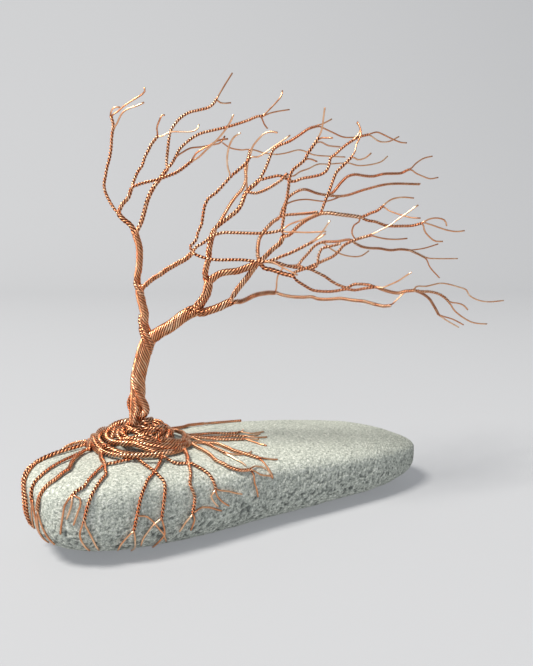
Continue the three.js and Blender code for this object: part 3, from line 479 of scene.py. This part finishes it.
grow("trunk", "stem", [in_crown(right, up, 0) for right, up in trunk_run], trunk_wires)
grow("fork_wrap", "stem", [in_crown(*p) for p in [(1.2, 51.6, 0), (1, 50.2, -0.7), (1.5, 48.6, -1.2),
    (2.4, 47, -1.6), (3.3, 45.4, -1.4), (3.6, 44, -0.5), (3.1, 42.6, 0.6)]], 7)
grow("fork_wrap_low", "stem", [in_crown(*p) for p in [(1.3, 49.6, 0.3), (1.1, 48.2, -0.5),
    (1.5, 46.7, -1.3), (2.2, 45.1, -1.7), (3, 43.7, -1.2), (3.1, 42.2, 0)]], 7)
grow("stem_wrap", "stem", [in_crown(*p) for p in [(0.4, 60.2, 0.4), (0, 59.1, -0.4), (0.5, 58, -0.9),
    (1.3, 56.9, -0.9), (1.9, 55.8, -0.3), (2.1, 54.8, 0.4)]], 5)
grow("limb_wrap", "rising", [in_crown(*p) for p in [(11.6, 52.6, -0.3), (12.9, 53.1, -1.1),
    (14.3, 52.8, -1.5), (15.7, 52.5, -1.2), (17, 52.7, -0.6), (18.2, 53.2, 0)]], 6)
grow("limb_wrap_up", "rising", [in_crown(*p) for p in [(11.8, 50.9, -0.7), (13.2, 51.8, -1.3),
    (14.5, 53, -1.4), (15.5, 54.4, -1), (16.6, 55.9, -0.4), (17.3, 57.4, 0.3)]], 7)
grow("foot_bulge", "stem", [in_crown(*p) for p in [(-0.4, 37.8, 0), (-0.8, 36, -0.9),
    (-0.5, 34.4, -1.3), (0.3, 32.4, -1.5), (1.2, 30.6, -1.4), (1.8, 29.1, -1.2), (1.7, 27.9, -1.1),
    (0.9, 27.1, -1.3), (-0.3, 26.4, -1)]], 16)
grow("foot_front", "stem", [in_crown(*p) for p in [(-0.9, 31.6, -1.2), (-0.5, 30, -1.7),
    (-0.3, 28.5, -2.1), (-0.7, 26.8, -2.4), (-1.2, 24.6, -2.3)]], 7)
grow("foot_left", "stem", [in_crown(*p) for p in [(-0.9, 34, -0.2), (-1.6, 32.2, -0.3),
    (-2.3, 30.6, -0.3), (-2.2, 29.2, -0.4), (-1.7, 27.8, -0.6), (-1.6, 26, -0.6), (-2, 24.6, -0.6)]], 4)


def place_in_crown(name, parent):
    """Where a limb of the crown leaves its parent (a sample of its middle), and the points that it then
    passes.
    """
    run, depths = crown[name][3], crown[name][4]
    rope = limbs[parent]
    at = len(rope["middle"]) - 1
    if len(crown[name]) > 5:
        seen = np.array([from_eye(p)[:2] for p in rope["middle"]])
        at = int(np.argmin(np.linalg.norm(seen - np.array(crown[name][5]), axis=1)))
    right, up, back = from_eye(rope["middle"][at])
    flat = np.array([(right, up), *run])
    gone = np.r_[0, np.cumsum(np.linalg.norm(np.diff(flat, axis=0), axis=1))]
    depth = np.interp(gone / gone[-1], np.linspace(0, 1, len(depths) + 1), [back, *depths])
    return at, [in_crown(r, h, b) for (r, h), b in zip(run, depth[1:])]


crown = {"trunk": (None, "stem", trunk_wires, [], []), **crown}
grow_family(crown, place_in_crown)

# --------------------------------------------------------------------------------------------------------
# The roots. The trunk's wires part into twelve bundles that sweep round its foot, come down onto the
# stone and follow it over its edges. Each root: the bundle it leaves, its piece, its wires and the places
# it passes [bearing, distance over the stone from the foot]; bearing 0 is along the stone and 90 is the
# back.
# --------------------------------------------------------------------------------------------------------


def pebble_side(place):
    """Below zero inside the stone and above zero outside it."""
    along = place[..., 0] / half_length
    across = (place[..., 1] - bow * (1 - along * along)) / half_width
    height = (place[..., 2] - equator - tip * along) / (1 + taper * along)
    plan = (np.abs(along) ** plan_power + np.abs(across) ** plan_power) ** (1 / plan_power)
    power = np.where(height > 0, top_power, under_power)
    return plan ** power + (np.abs(height) / np.where(height > 0, above, below)) ** power - 1


angles = np.radians(np.arange(90, -79, -3))
core = np.array([foot[0], foot[1], 12.0])


def on_pebble(bearing, distance, lift):
    """The place at a distance over the stone from the trunk's foot, out along a bearing, lifted clear of
    it.
    """
    turn = math.radians(bearing)
    rays = np.stack([np.cos(angles) * math.cos(turn), np.cos(angles) * math.sin(turn), np.sin(angles)], 1)
    near, far = np.zeros(len(rays)), np.full(len(rays), 110.0)
    for _ in range(26):
        half = (near + far) / 2
        inside = pebble_side(core + rays * half[:, None]) < 0
        near, far = np.where(inside, half, near), np.where(inside, far, half)
    skin = core + rays * near[:, None]
    walked = np.r_[0, np.cumsum(np.linalg.norm(np.diff(skin, axis=0), axis=1))]
    spot = np.array([np.interp(distance, walked, skin[:, k]) for k in range(3)])
    slope = np.array([pebble_side(spot + e) - pebble_side(spot - e) for e in np.eye(3) * 0.01])
    return spot + slope / np.linalg.norm(slope) * lift


collars = {
    "collar_left_end": (164, 9, 3.2), "collar_left": (182, 10, 4.4), "collar_front_left": (203, 9, 2.8),
    "collar_front": (242, 7, 3.8), "collar_front_middle": (271, 8, 4.8),
        "collar_front_right": (302, 9, 2.8),
    "collar_right_front": (326, 11, 4.2), "collar_right": (358, 9, 3.2),
        "collar_back_right": (42, 7, 4.6),
    "collar_back": (78, 8, 2.8), "collar_back_left": (112, 8, 3.8), "collar_left_back": (146, 8, 4.8),
}
roots = {
    "root_left_end": ("collar_left_end", "roots_back", 6, [(164, 13), (170, 18), (176, 24)]),
    "root_left_end_a": ("root_left_end", "roots_back", 2, [(179, 30), (182, 35), (183, 40)]),
    "root_left_end_b": ("root_left_end", "roots_back", 2, [(184, 28), (190, 33), (190, 38)]),
    "root_left_end_c": ("root_left_end", "roots_back", 2, [(173, 30), (168, 34), (167, 39)]),
    "root_left": ("collar_left", "roots_front", 2, [(182, 13), (189, 18.5), (195, 26), (198, 32)]),
    "root_left_a": ("root_left", "roots_front", 1, [(196, 35.5), (193, 39)]),
    "root_left_b": ("root_left", "roots_front", 1, [(200, 36), (200, 41)]),
    "root_left_front": ("collar_left", "roots_front", 4, [(184, 14), (193, 17.5), (205, 22),
        (206.5, 27), (203, 34)]),
    "root_left_front_a": ("root_left_front", "roots_front", 1, [(205, 38), (208, 42)]),
    "root_left_front_b": ("root_left_front", "roots_front", 1, [(201, 38), (200.5, 43)]),
    "root_front_left": ("collar_front_left", "roots_front", 5, [(206, 13), (222, 17.5)]),
    "root_front_left_link": ("collar_front", "roots_front", 2, [(240, 13.4), (232, 14.8), (222, 17.5)]),
    "root_front_right_link": ("collar_front_middle", "roots_front", 2, [(272, 14.5), (276, 16.8),
        (284, 17.8)]),
    "root_front_left_a": ("root_front_left", "roots_front", 2, [(228, 21.5), (227, 25), (224, 31),
        (223, 33.5)]),
    "root_front_left_b": ("root_front_left", "roots_front", 2, [(221.8, 22), (221.5, 26.5),
        (218.5, 28.8)]),
    "root_front_left_c": ("root_front_left_b", "roots_front", 1, [(216, 31.2), (215, 34), (213.5, 38)]),
    "root_front_left_d": ("root_front_left_b", "roots_front", 1, [(219, 29.5), (218, 32), (216.5, 34.2)]),
    "root_front_left_e": ("root_front_left_b", "roots_front", 1, [(222.5, 29), (220.5, 32.5), (219, 35)]),
    "root_front_left_f": ("root_front_left_a", "roots_front", 1, [(221.2, 36), (221, 38), (222.5, 41.5)]),
    "root_front_left_g": ("root_front_left_a", "roots_front", 1, [(225, 36), (226, 38), (226.5, 40.5)]),
    "root_front": ("collar_front", "roots_front", 2, [(245, 13), (256.5, 18.7), (261.5, 22),
        (258.5, 29.5)]),
    "root_front_a": ("root_front", "roots_front", 1, [(261, 33.5), (256, 37), (255, 39.5)]),
    "root_front_b": ("root_front", "roots_front", 1, [(254, 31), (250.5, 33), (248, 34.8), (247, 37)]),
    "root_front_middle": ("collar_front_middle", "roots_front", 2, [(270, 13), (264, 15.5),
        (251.5, 21.5), (247.5, 25), (243.5, 32.8)]),
    "root_front_middle_c": ("root_front_middle", "roots_front", 1, [(248.5, 29.2), (252, 29.6),
        (256, 31.5), (260, 33.5), (262.5, 36)], (245.5, 29.3)),
    "root_front_middle_a": ("root_front_middle", "roots_front", 1, [(240.7, 34.3), (237, 37),
        (234.5, 40)]),
    "root_front_middle_b": ("root_front_middle", "roots_front", 1, [(244, 34.5), (243.8, 38), (241, 41)]),
    "root_front_right": ("collar_front_right", "roots_front", 5, [(300, 13), (285, 17.5)]),
    "root_front_right_a": ("root_front_right", "roots_front", 2, [(276.5, 23), (279, 26.3),
        (277.5, 29.8)]),
    "root_front_right_b": ("root_front_right_a", "roots_front", 1, [(273, 31.5), (270, 33.5)]),
    "root_front_right_c": ("root_front_right_a", "roots_front", 1, [(279, 31.3), (277.5, 34)]),
    "root_front_right_d": ("root_front_right_a", "roots_front", 1, [(282, 29), (288, 30), (295, 32.5)]),
    "root_front_right_e": ("root_front_right", "roots_front", 2, [(287, 19.5), (290, 22.5),
        (291.5, 26.5)]),
    "root_front_right_f": ("root_front_right_e", "roots_front", 1, [(292, 28), (294.5, 30), (299, 32.5)]),
    "root_front_right_g": ("root_front_right_e", "roots_front", 1, [(293, 27), (299, 29), (305.5, 32)]),
    "root_front_right_h": ("root_front_right_e", "roots_front", 1, [(288.5, 27.5), (290, 29), (293, 31)]),
    "root_right_front": ("collar_right_front", "roots_front", 4, [(318, 14), (303, 20.8),
        (303.5, 24.5), (307, 27), (311.5, 28.8)]),
    "root_right_front_a": ("root_right_front", "roots_front", 1, [(311, 31.8), (312, 33.8), (312.5, 36)]),
    "root_right_front_b": ("root_right_front", "roots_front", 1, [(314.5, 32), (317, 33.5), (318, 35)]),
    "root_right_front_c": ("root_right_front", "roots_front", 1, [(315, 29.4), (316.5, 30.8),
        (317.5, 32.3), (318, 34.8)]),
    "root_right": ("collar_right_front", "roots_front", 4, [(333, 15), (333, 18.5), (328, 20.3),
        (322, 23), (321, 25.3), (320.5, 27.6), (320.5, 29.5)]),
    "root_right_a": ("root_right", "roots_front", 1, [(322.5, 31.8), (324.5, 34)]),
    "root_right_b": ("root_right", "roots_front", 1, [(318, 32), (318, 34.8)]),
    "root_right_low": ("collar_right", "roots_back", 2, [(352, 14.5), (344, 19), (343.5, 22),
        (343.5, 24.7), (344.5, 26.5)]),
    "root_right_low_a": ("root_right_low", "roots_back", 1, [(337, 30), (335.5, 31.5)]),
    "root_right_low_b": ("root_right_low", "roots_back", 1, [(344, 30.5)]),
    "root_right_end": ("collar_right", "roots_back", 2, [(363, 14.5), (361.5, 20.7), (358, 23.5),
        (357, 26.7), (358.5, 28.2)]),
    "root_right_end_a": ("root_right_end", "roots_back", 1, [(361.5, 30), (364, 31)]),
    "root_right_end_b": ("root_right_end", "roots_back", 1, [(355, 30.5), (357, 35)]),
    "root_right_link": ("collar_right", "roots_back", 2, [(344, 14), (332, 16), (322, 18.5),
        (316, 21.5)]),
    "root_right_link_a": ("root_right_link", "roots_back", 1, [(318, 24), (322, 26.5), (326, 27.5)]),
    "root_right_link_b": ("root_right_link", "roots_back", 1, [(313, 24.5), (312, 27.5)]),
    "root_right_twin": ("collar_right", "roots_back", 2, [(354, 15), (350, 19), (351.5, 23.5),
        (349.5, 27.5)]),
    "root_right_twin_a": ("root_right_twin", "roots_back", 1, [(351, 30), (354, 33)]),
    "root_right_twin_b": ("root_right_twin", "roots_back", 1, [(347.5, 30), (348, 33.5)]),
    "root_back_right": ("collar_back_right", "roots_back", 4, [(42, 14), (34, 17), (31, 20),
        (32.5, 23.5), (28, 28)]),
    "root_back_right_a": ("root_back_right", "roots_back", 2, [(26.5, 31), (24, 34), (23, 37),
        (20.5, 40)]),
    "root_back_right_b": ("root_back_right", "roots_back", 1, [(30, 33), (27, 38)]),
    "root_back": ("collar_back", "roots_back", 5, [(78, 13), (72, 18)]),
    "root_back_a": ("root_back", "roots_back", 2, [(74, 24), (70, 30), (72, 34)]),
    "root_back_b": ("root_back", "roots_back", 1, [(66, 21), (60, 24), (56, 29)]),
    "root_back_c": ("root_back_a", "roots_back", 1, [(80, 29), (79, 33)], (74, 24)),
    "root_back_left": ("collar_back_left", "roots_back", 5, [(112, 13), (104, 18), (107, 24)]),
    "root_back_left_a": ("root_back_left", "roots_back", 1, [(102, 30), (103, 34)]),
    "root_back_left_b": ("root_back_left", "roots_back", 1, [(113, 29), (112, 33)]),
    "root_left_back": ("collar_left_back", "roots_back", 4, [(146, 13), (140, 18), (145, 25)]),
    "root_left_back_a": ("root_left_back", "roots_back", 1, [(140, 31), (142, 36)]),
    "root_left_back_b": ("root_left_back", "roots_back", 1, [(151, 31), (153, 36)]),
}

for k in range(6):
    inner = 2.6 + 1.35 * k
    loop = []
    for turn in range(0, 300, 12):
        reach = inner + 0.011 * turn * (0.4 + 0.2 * k) + 1.1 * math.sin(0.035 * turn + 2.2 * k)
        lift = 0.7 + 4 * (1 - inner / 12.5) + 0.7 * math.sin(0.06 * turn + 2 * k)
        loop.append(on_pebble(70 * k + turn, reach, lift))
    grow(f"nest_{k}", "roots_collar", loop, 8 if k < 4 else 6)
last_place = {}
trunk = limbs["trunk"]
limbs["foot"] = {
    "middle": trunk["middle"][8::-1], "sides": trunk["sides"][8::-1], "wires": trunk["wires"][:, 8::-1],
    "outer": trunk["outer"],
}


def place_on_pebble(name, parent):
    """The same for a root: a bundle sweeps down round the trunk's foot, and a root follows the stone."""
    count = table[name][2]
    lift = rings(count)[:, 0].max() + wire / 2 + 0.1
    at = len(limbs[parent]["middle"]) - 1
    if parent == "foot":
        leaves, _, height = collars[name]
        points = []
        sweep = 205 + 85 * math.sin(2.3 * leaves)
        for t in np.linspace(0, 1, 31):
            loose = 4 * t * (1 - t)
            reach = 1.8 + 10.6 * t ** 0.9 + 1.5 * loose * math.sin(8 * t + 2 * leaves)
            mound = 1.05 * height * (1 - t) ** 1.1 + 0.8 * loose * math.sin(11 * t + leaves)
            points.append(on_pebble(leaves - sweep * (1 - t), reach, lift + max(mound, 0)))
        last_place[name] = (leaves, 12.4, lift)
        return at, points
    run = table[name][3]
    if len(table[name]) > 4:
        goal = on_pebble(*table[name][4], lift)
        at = int(np.argmin(np.linalg.norm(limbs[parent]["middle"] - goal, axis=1)))
        start = (*table[name][4], lift)
    else:
        start = last_place[parent]
    polar = np.array([start[:2], *run], float)
    gone = np.r_[0, np.cumsum(np.hypot(np.diff(polar[:, 1]),
        np.radians(np.diff(polar[:, 0])) * polar[:-1, 1]))]
    points = []
    for way in np.arange(1.5, gone[-1] + 1.4, 1.5):
        way = min(way, gone[-1])
        bearing, distance = np.interp(way, gone, polar[:, 0]), np.interp(way, gone, polar[:, 1])
        points.append(on_pebble(bearing, distance, lift + (start[2] - lift) * max(1 - way / 4, 0)))
    last_place[name] = (*run[-1], lift)
    return at, points


table = {"foot": (None, "collar", trunk_wires, [])}
table.update({name: ("foot", "roots_collar", count) for name, (_, count, _) in collars.items()})
table.update(roots)
grow_family(table, place_on_pebble)

# --------------------------------------------------------------------------------------------------------
# Each piece's wires become one mesh, every wire with its own tone.
# --------------------------------------------------------------------------------------------------------
stands_for = {
    "stem": ["trunk", "left_stem", "left_stem_top", "left_fork", "left_bough", "left_spray",
        "left_front_spray",
             "tall_bough", "top_spray", "tall_spray"],
    "front": ["front_bough", "front_spray", "front_long_twig", "front_low_twig"],
    "rising": ["right_limb", "right_bough", "rising_back_spray", "rising_spray", "upper_spray",
        "upper_long_spray"],
    "middle": ["leaning_bough", "dark_bough", "dark_spray", "middle_bough", "middle_rising_spray",
               "middle_back_spray", "middle_spray", "middle_lower_twig", "arched_bough",
                   "arched_spray", "far_spray"],
    "low": ["low_bough", "low_middle_spray", "low_tip_spray", "long_spray", "back_bough", "lowest_bough",
            "link_bough", "lowest_limb", "lowest_spray"],
    "roots_collar": ["root_collar"],
    "roots_front": ["root_left", "root_left_front", "root_front_left", "root_front", "root_front_middle",
                    "root_front_right", "root_right_front", "root_right"],
    "roots_back": ["root_left_end", "root_right_low", "root_right_end", "root_back_right", "root_back",
                   "root_back_left", "root_left_back"],
}
made = []


def wire_piece(name, lines, nodes):
    """Turns wires into one mesh, with a tone for each wire and a crest that is 1 where it faces out of
    its rope and lower towards the lays; the crest sets the painted shade in the lays.
    """
    bpy.ops.object.select_all(action="DESELECT")
    data = bpy.data.curves.new(name, "CURVE")
    data.dimensions = "3D"
    data.bevel_depth = wire / 1900  # metres, a twentieth over the wire's own radius
    data.bevel_resolution = 1
    ended = []
    for line, middle, rope, thick in lines:
        closed = np.concatenate([line[:1], line, line[-1:]])
        closed[0] += (line[0] - line[1]) / np.linalg.norm(line[0] - line[1]) * 0.08
        closed[-1] += (line[-1] - line[-2]) / np.linalg.norm(line[-1] - line[-2]) * 0.08
        ended.append((closed, np.concatenate([middle[:1], middle, middle[-1:]]), np.r_[rope[:1],
            rope, rope[-1:]]))
        spline = data.splines.new("POLY")
        spline.points.add(len(closed) - 1)
        spline.points.foreach_set("co", np.c_[closed / 1000, np.ones(len(closed))].ravel())
        spline.points.foreach_set("radius", [0.05, *[thick] * len(line), 0.05])
    piece = bpy.data.objects.new(name, data)
    bpy.context.scene.collection.objects.link(piece)
    piece.select_set(True)
    bpy.context.view_layer.objects.active = piece
    bpy.ops.object.convert(target="MESH")
    piece = bpy.context.object
    bpy.ops.object.shade_smooth()
    spans = [len(line) for line, _, _ in ended]
    sides = len(piece.data.vertices) // sum(spans)
    skin = np.empty(3 * len(piece.data.vertices))
    piece.data.vertices.foreach_get("co", skin)
    skin = skin.reshape(-1, 3) * 1000
    middles = np.repeat(np.concatenate([middle for _, middle, _ in ended]), sides, axis=0)
    own = np.repeat(np.concatenate([line for line, _, _ in ended]), sides, axis=0)
    ropes = np.repeat(np.concatenate([rope for _, _, rope in ended]), sides)
    # crest: 1 on the side of a wire that faces out of its rope, falling towards the lays where the wires
    # touch; it drives the painted shade in the lays, weaker where a rope's wires are still parting at a
    # fork
    lean = np.einsum("ij,ij->i", own - middles, skin - own)
    lean = lean / np.maximum(np.linalg.norm(own - middles, axis=1) * wire / 2, 1e-6)
    crest = 1 - (1 - np.clip((lean - 0.1) / 0.75, 0, 1)) * (0.55 + 0.45 * ropes)
    crest[np.linalg.norm(own - middles, axis=1) < 0.05] = 1
    tones = np.repeat([random.random() for _ in ended], [span * sides for span in spans])
    piece.data.attributes.new("tone", "FLOAT", "POINT").data.foreach_set("value", tones)
    piece.data.attributes.new("crest", "FLOAT", "POINT").data.foreach_set("value", crest)
    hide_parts(*nodes)
    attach(piece, "root")
    made.append(piece)
    return piece


for name, nodes in stands_for.items():
    wire_piece(f"{name}_wires", pieces[name], nodes)

# --------------------------------------------------------------------------------------------------------
# Finishes. The wire is bare soft copper, with painted shade that darkens it towards the lays between the
# wires. The stone is dull, with dark and pale grains, and painted shade in its pits and grain hollows.
# --------------------------------------------------------------------------------------------------------


def colour(code):
    """An sRGB hex code as the linear colour that Blender takes."""
    parts = [int(code[k:k + 2], 16) / 255 for k in (1, 3, 5)]
    return (*[p / 12.92 if p <= 0.04045 else ((p + 0.055) / 1.055) ** 2.4 for p in parts], 1)


def add(tree, kind, settings=None, **inputs):
    """Adds a shader node. An input is given by its name, or as i and its number where names repeat."""
    node = tree.nodes.new(kind)
    for key, value in (settings or {}).items():
        setattr(node, key, value)
    for key, value in inputs.items():
        numbered = key[0] == "i" and key[1:].isdigit()
        socket = node.inputs[int(key[1:]) if numbered else key.replace("_", " ")]
        if isinstance(value, bpy.types.NodeSocket):
            tree.links.new(value, socket)
        else:
            socket.default_value = value
    return node


def ramp(tree, value, stops):
    """A colour ramp driven by value, through its stops (place, hex code)."""
    node = add(tree, "ShaderNodeValToRGB", Fac=value)
    steps = node.color_ramp.elements
    while len(steps) < len(stops):
        steps.new(0.5)
    for step, (place, code) in zip(steps, stops):
        step.position, step.color = place, colour(code)
    return node.outputs["Color"]


copper = bpy.data.materials.new("copper_wire")
copper.use_nodes = True
tree = copper.node_tree
shader = tree.nodes["Principled BSDF"]
place = tree.nodes.new("ShaderNodeTexCoord").outputs["Object"]
tone = add(tree, "ShaderNodeAttribute", {"attribute_name": "tone"}).outputs["Fac"]
cloud = add(tree, "ShaderNodeTexNoise", Vector=place, Scale=420.0, Detail=3.0).outputs["Fac"]
crest = add(tree, "ShaderNodeAttribute", {"attribute_name": "crest"}).outputs["Fac"]
mixed = add(tree, "ShaderNodeMath", {"operation": "MULTIPLY_ADD"}, i0=tone, i1=0.45, i2=cloud).outputs[0]
bright = ramp(tree, mixed, [(0.35, "#cc8359"), (0.6, "#e09d73"), (0.85, "#efb98f"), (1.0, "#fad4b1")])
# Painted shade: this ramp on crest darkens the lays between the wires, multiplied into the copper colour
stone_skin_and_lay_shade = ramp(tree, crest, [(0.0, "#5c2e1c"), (0.4, "#a06e56"), (0.75, "#e6d6cc"), (1.0, "#ffffff")])
shade = add(tree, "ShaderNodeMix", {"data_type": "RGBA",
    "blend_type": "MULTIPLY"}, i0=1.0, i6=bright, i7=stone_skin_and_lay_shade)
tree.links.new(shade.outputs[2], shader.inputs["Base Color"])
shader.inputs["Metallic"].default_value = 0.88
rough = add(tree, "ShaderNodeMapRange", Value=cloud, i3=0.22, i4=0.38).outputs[0]
tree.links.new(rough, shader.inputs["Roughness"])
for piece in made:
    piece.data.materials.clear()
    piece.data.materials.append(copper)

stone = bpy.data.materials.new("sea_pebble")
stone.use_nodes = True
tree = stone.node_tree
shader = tree.nodes["Principled BSDF"]
place = tree.nodes.new("ShaderNodeTexCoord").outputs["Object"]
grains = add(tree, "ShaderNodeTexNoise", Vector=place, Scale=1900.0, Detail=3.0,
    Roughness=0.8).outputs["Fac"]
patches = add(tree, "ShaderNodeTexNoise", Vector=place, Scale=90.0, Detail=4.0).outputs["Fac"]
body = ramp(tree, grains, [(0.35, "#565c55"), (0.45, "#a3a99f"), (0.55, "#c2c7bb"), (0.65, "#f3f4ec")])
wide = ramp(tree, patches, [(0.3, "#b0b5ab"), (0.7, "#cacfc3")])
both = add(tree, "ShaderNodeMix", {"data_type": "RGBA"}, i0=0.25, i6=body, i7=wide).outputs[2]
# Painted shade in the pits and grain hollows: the colour is mixed towards dark grey by this attribute
hollow_shade = add(tree, "ShaderNodeAttribute", {"attribute_name": "hollow_shade"}).outputs["Fac"]
pitted = add(tree, "ShaderNodeMix", {"data_type": "RGBA"}, i0=hollow_shade, i6=both,
    i7=colour("#454a47")).outputs[2]
tree.links.new(pitted, shader.inputs["Base Color"])
shader.inputs["Roughness"].default_value = 0.85
bump = add(tree, "ShaderNodeBump", Strength=0.9, Distance=0.0004, Height=grains).outputs["Normal"]
tree.links.new(bump, shader.inputs["Normal"])
pebble.data.materials.clear()
pebble.data.materials.append(stone)

# --------------------------------------------------------------------------------------------------------
# The studio: a pale sweep, a broad soft light from the upper left and a weaker one from the right.
# --------------------------------------------------------------------------------------------------------
bpy.ops.mesh.primitive_grid_add(x_subdivisions=8, y_subdivisions=120, size=4)
sweep = bpy.context.object
sweep.name = "sweep"
for vertex in sweep.data.vertices:
    away = max(vertex.co.y - 0.7, 0)
    vertex.co.z = 1.2 * away * away
sweep.rotation_euler = (0, 0, -turned)
bpy.ops.object.transform_apply(rotation=True)
bpy.ops.object.shade_smooth()
paper = bpy.data.materials.new("paper")
paper.use_nodes = True
shader = paper.node_tree.nodes["Principled BSDF"]
shader.inputs["Base Color"].default_value = colour("#929497")
shader.inputs["Roughness"].default_value = 0.9
shader.inputs["Emission Color"].default_value = colour("#c8cacd")
shader.inputs["Emission Strength"].default_value = 0.34
sweep.data.materials.append(paper)


def soft_light(name, place, width, watts, tint):
    """A round soft light at a place [right, back, up] in metres, aimed at the tree."""
    data = bpy.data.lights.new(name, "AREA")
    data.shape = "DISK"
    data.size, data.energy, data.color = width, watts, colour(tint)[:3]
    lamp = bpy.data.objects.new(name, data)
    lamp.location = (to_right * place[0] + to_back * place[1] + np.array([0, 0, place[2]])).tolist()
    aim = Vector((-0.005, 0, 0.045)) - lamp.location
    lamp.rotation_euler = aim.to_track_quat("-Z", "Y").to_euler()
    bpy.context.scene.collection.objects.link(lamp)


soft_light("key", (-1.1, -0.9, 2.2), 0.8, 112, "#fffaf3")
soft_light("fill", (0.2, -1.3, 0.5), 0.6, 6, "#eef3ff")
world = bpy.data.worlds.new("studio")
world.use_nodes = True
world.node_tree.nodes["Background"].inputs["Color"].default_value = colour("#d2d4d8")
world.node_tree.nodes["Background"].inputs["Strength"].default_value = 0.34
bpy.context.scene.world = world
bpy.context.scene.view_settings.view_transform = "Standard"

eye_tilt = 7.9  # degrees down from level
camera = bpy.data.objects.new("camera", bpy.data.cameras.new("camera"))
camera.data.lens = 37.84
camera.data.clip_start = 0.01
camera.location = (eye / 1000).tolist()
camera.rotation_euler = (math.radians(90 - eye_tilt), 0, -turned)
bpy.context.scene.collection.objects.link(camera)
bpy.context.scene.camera = camera
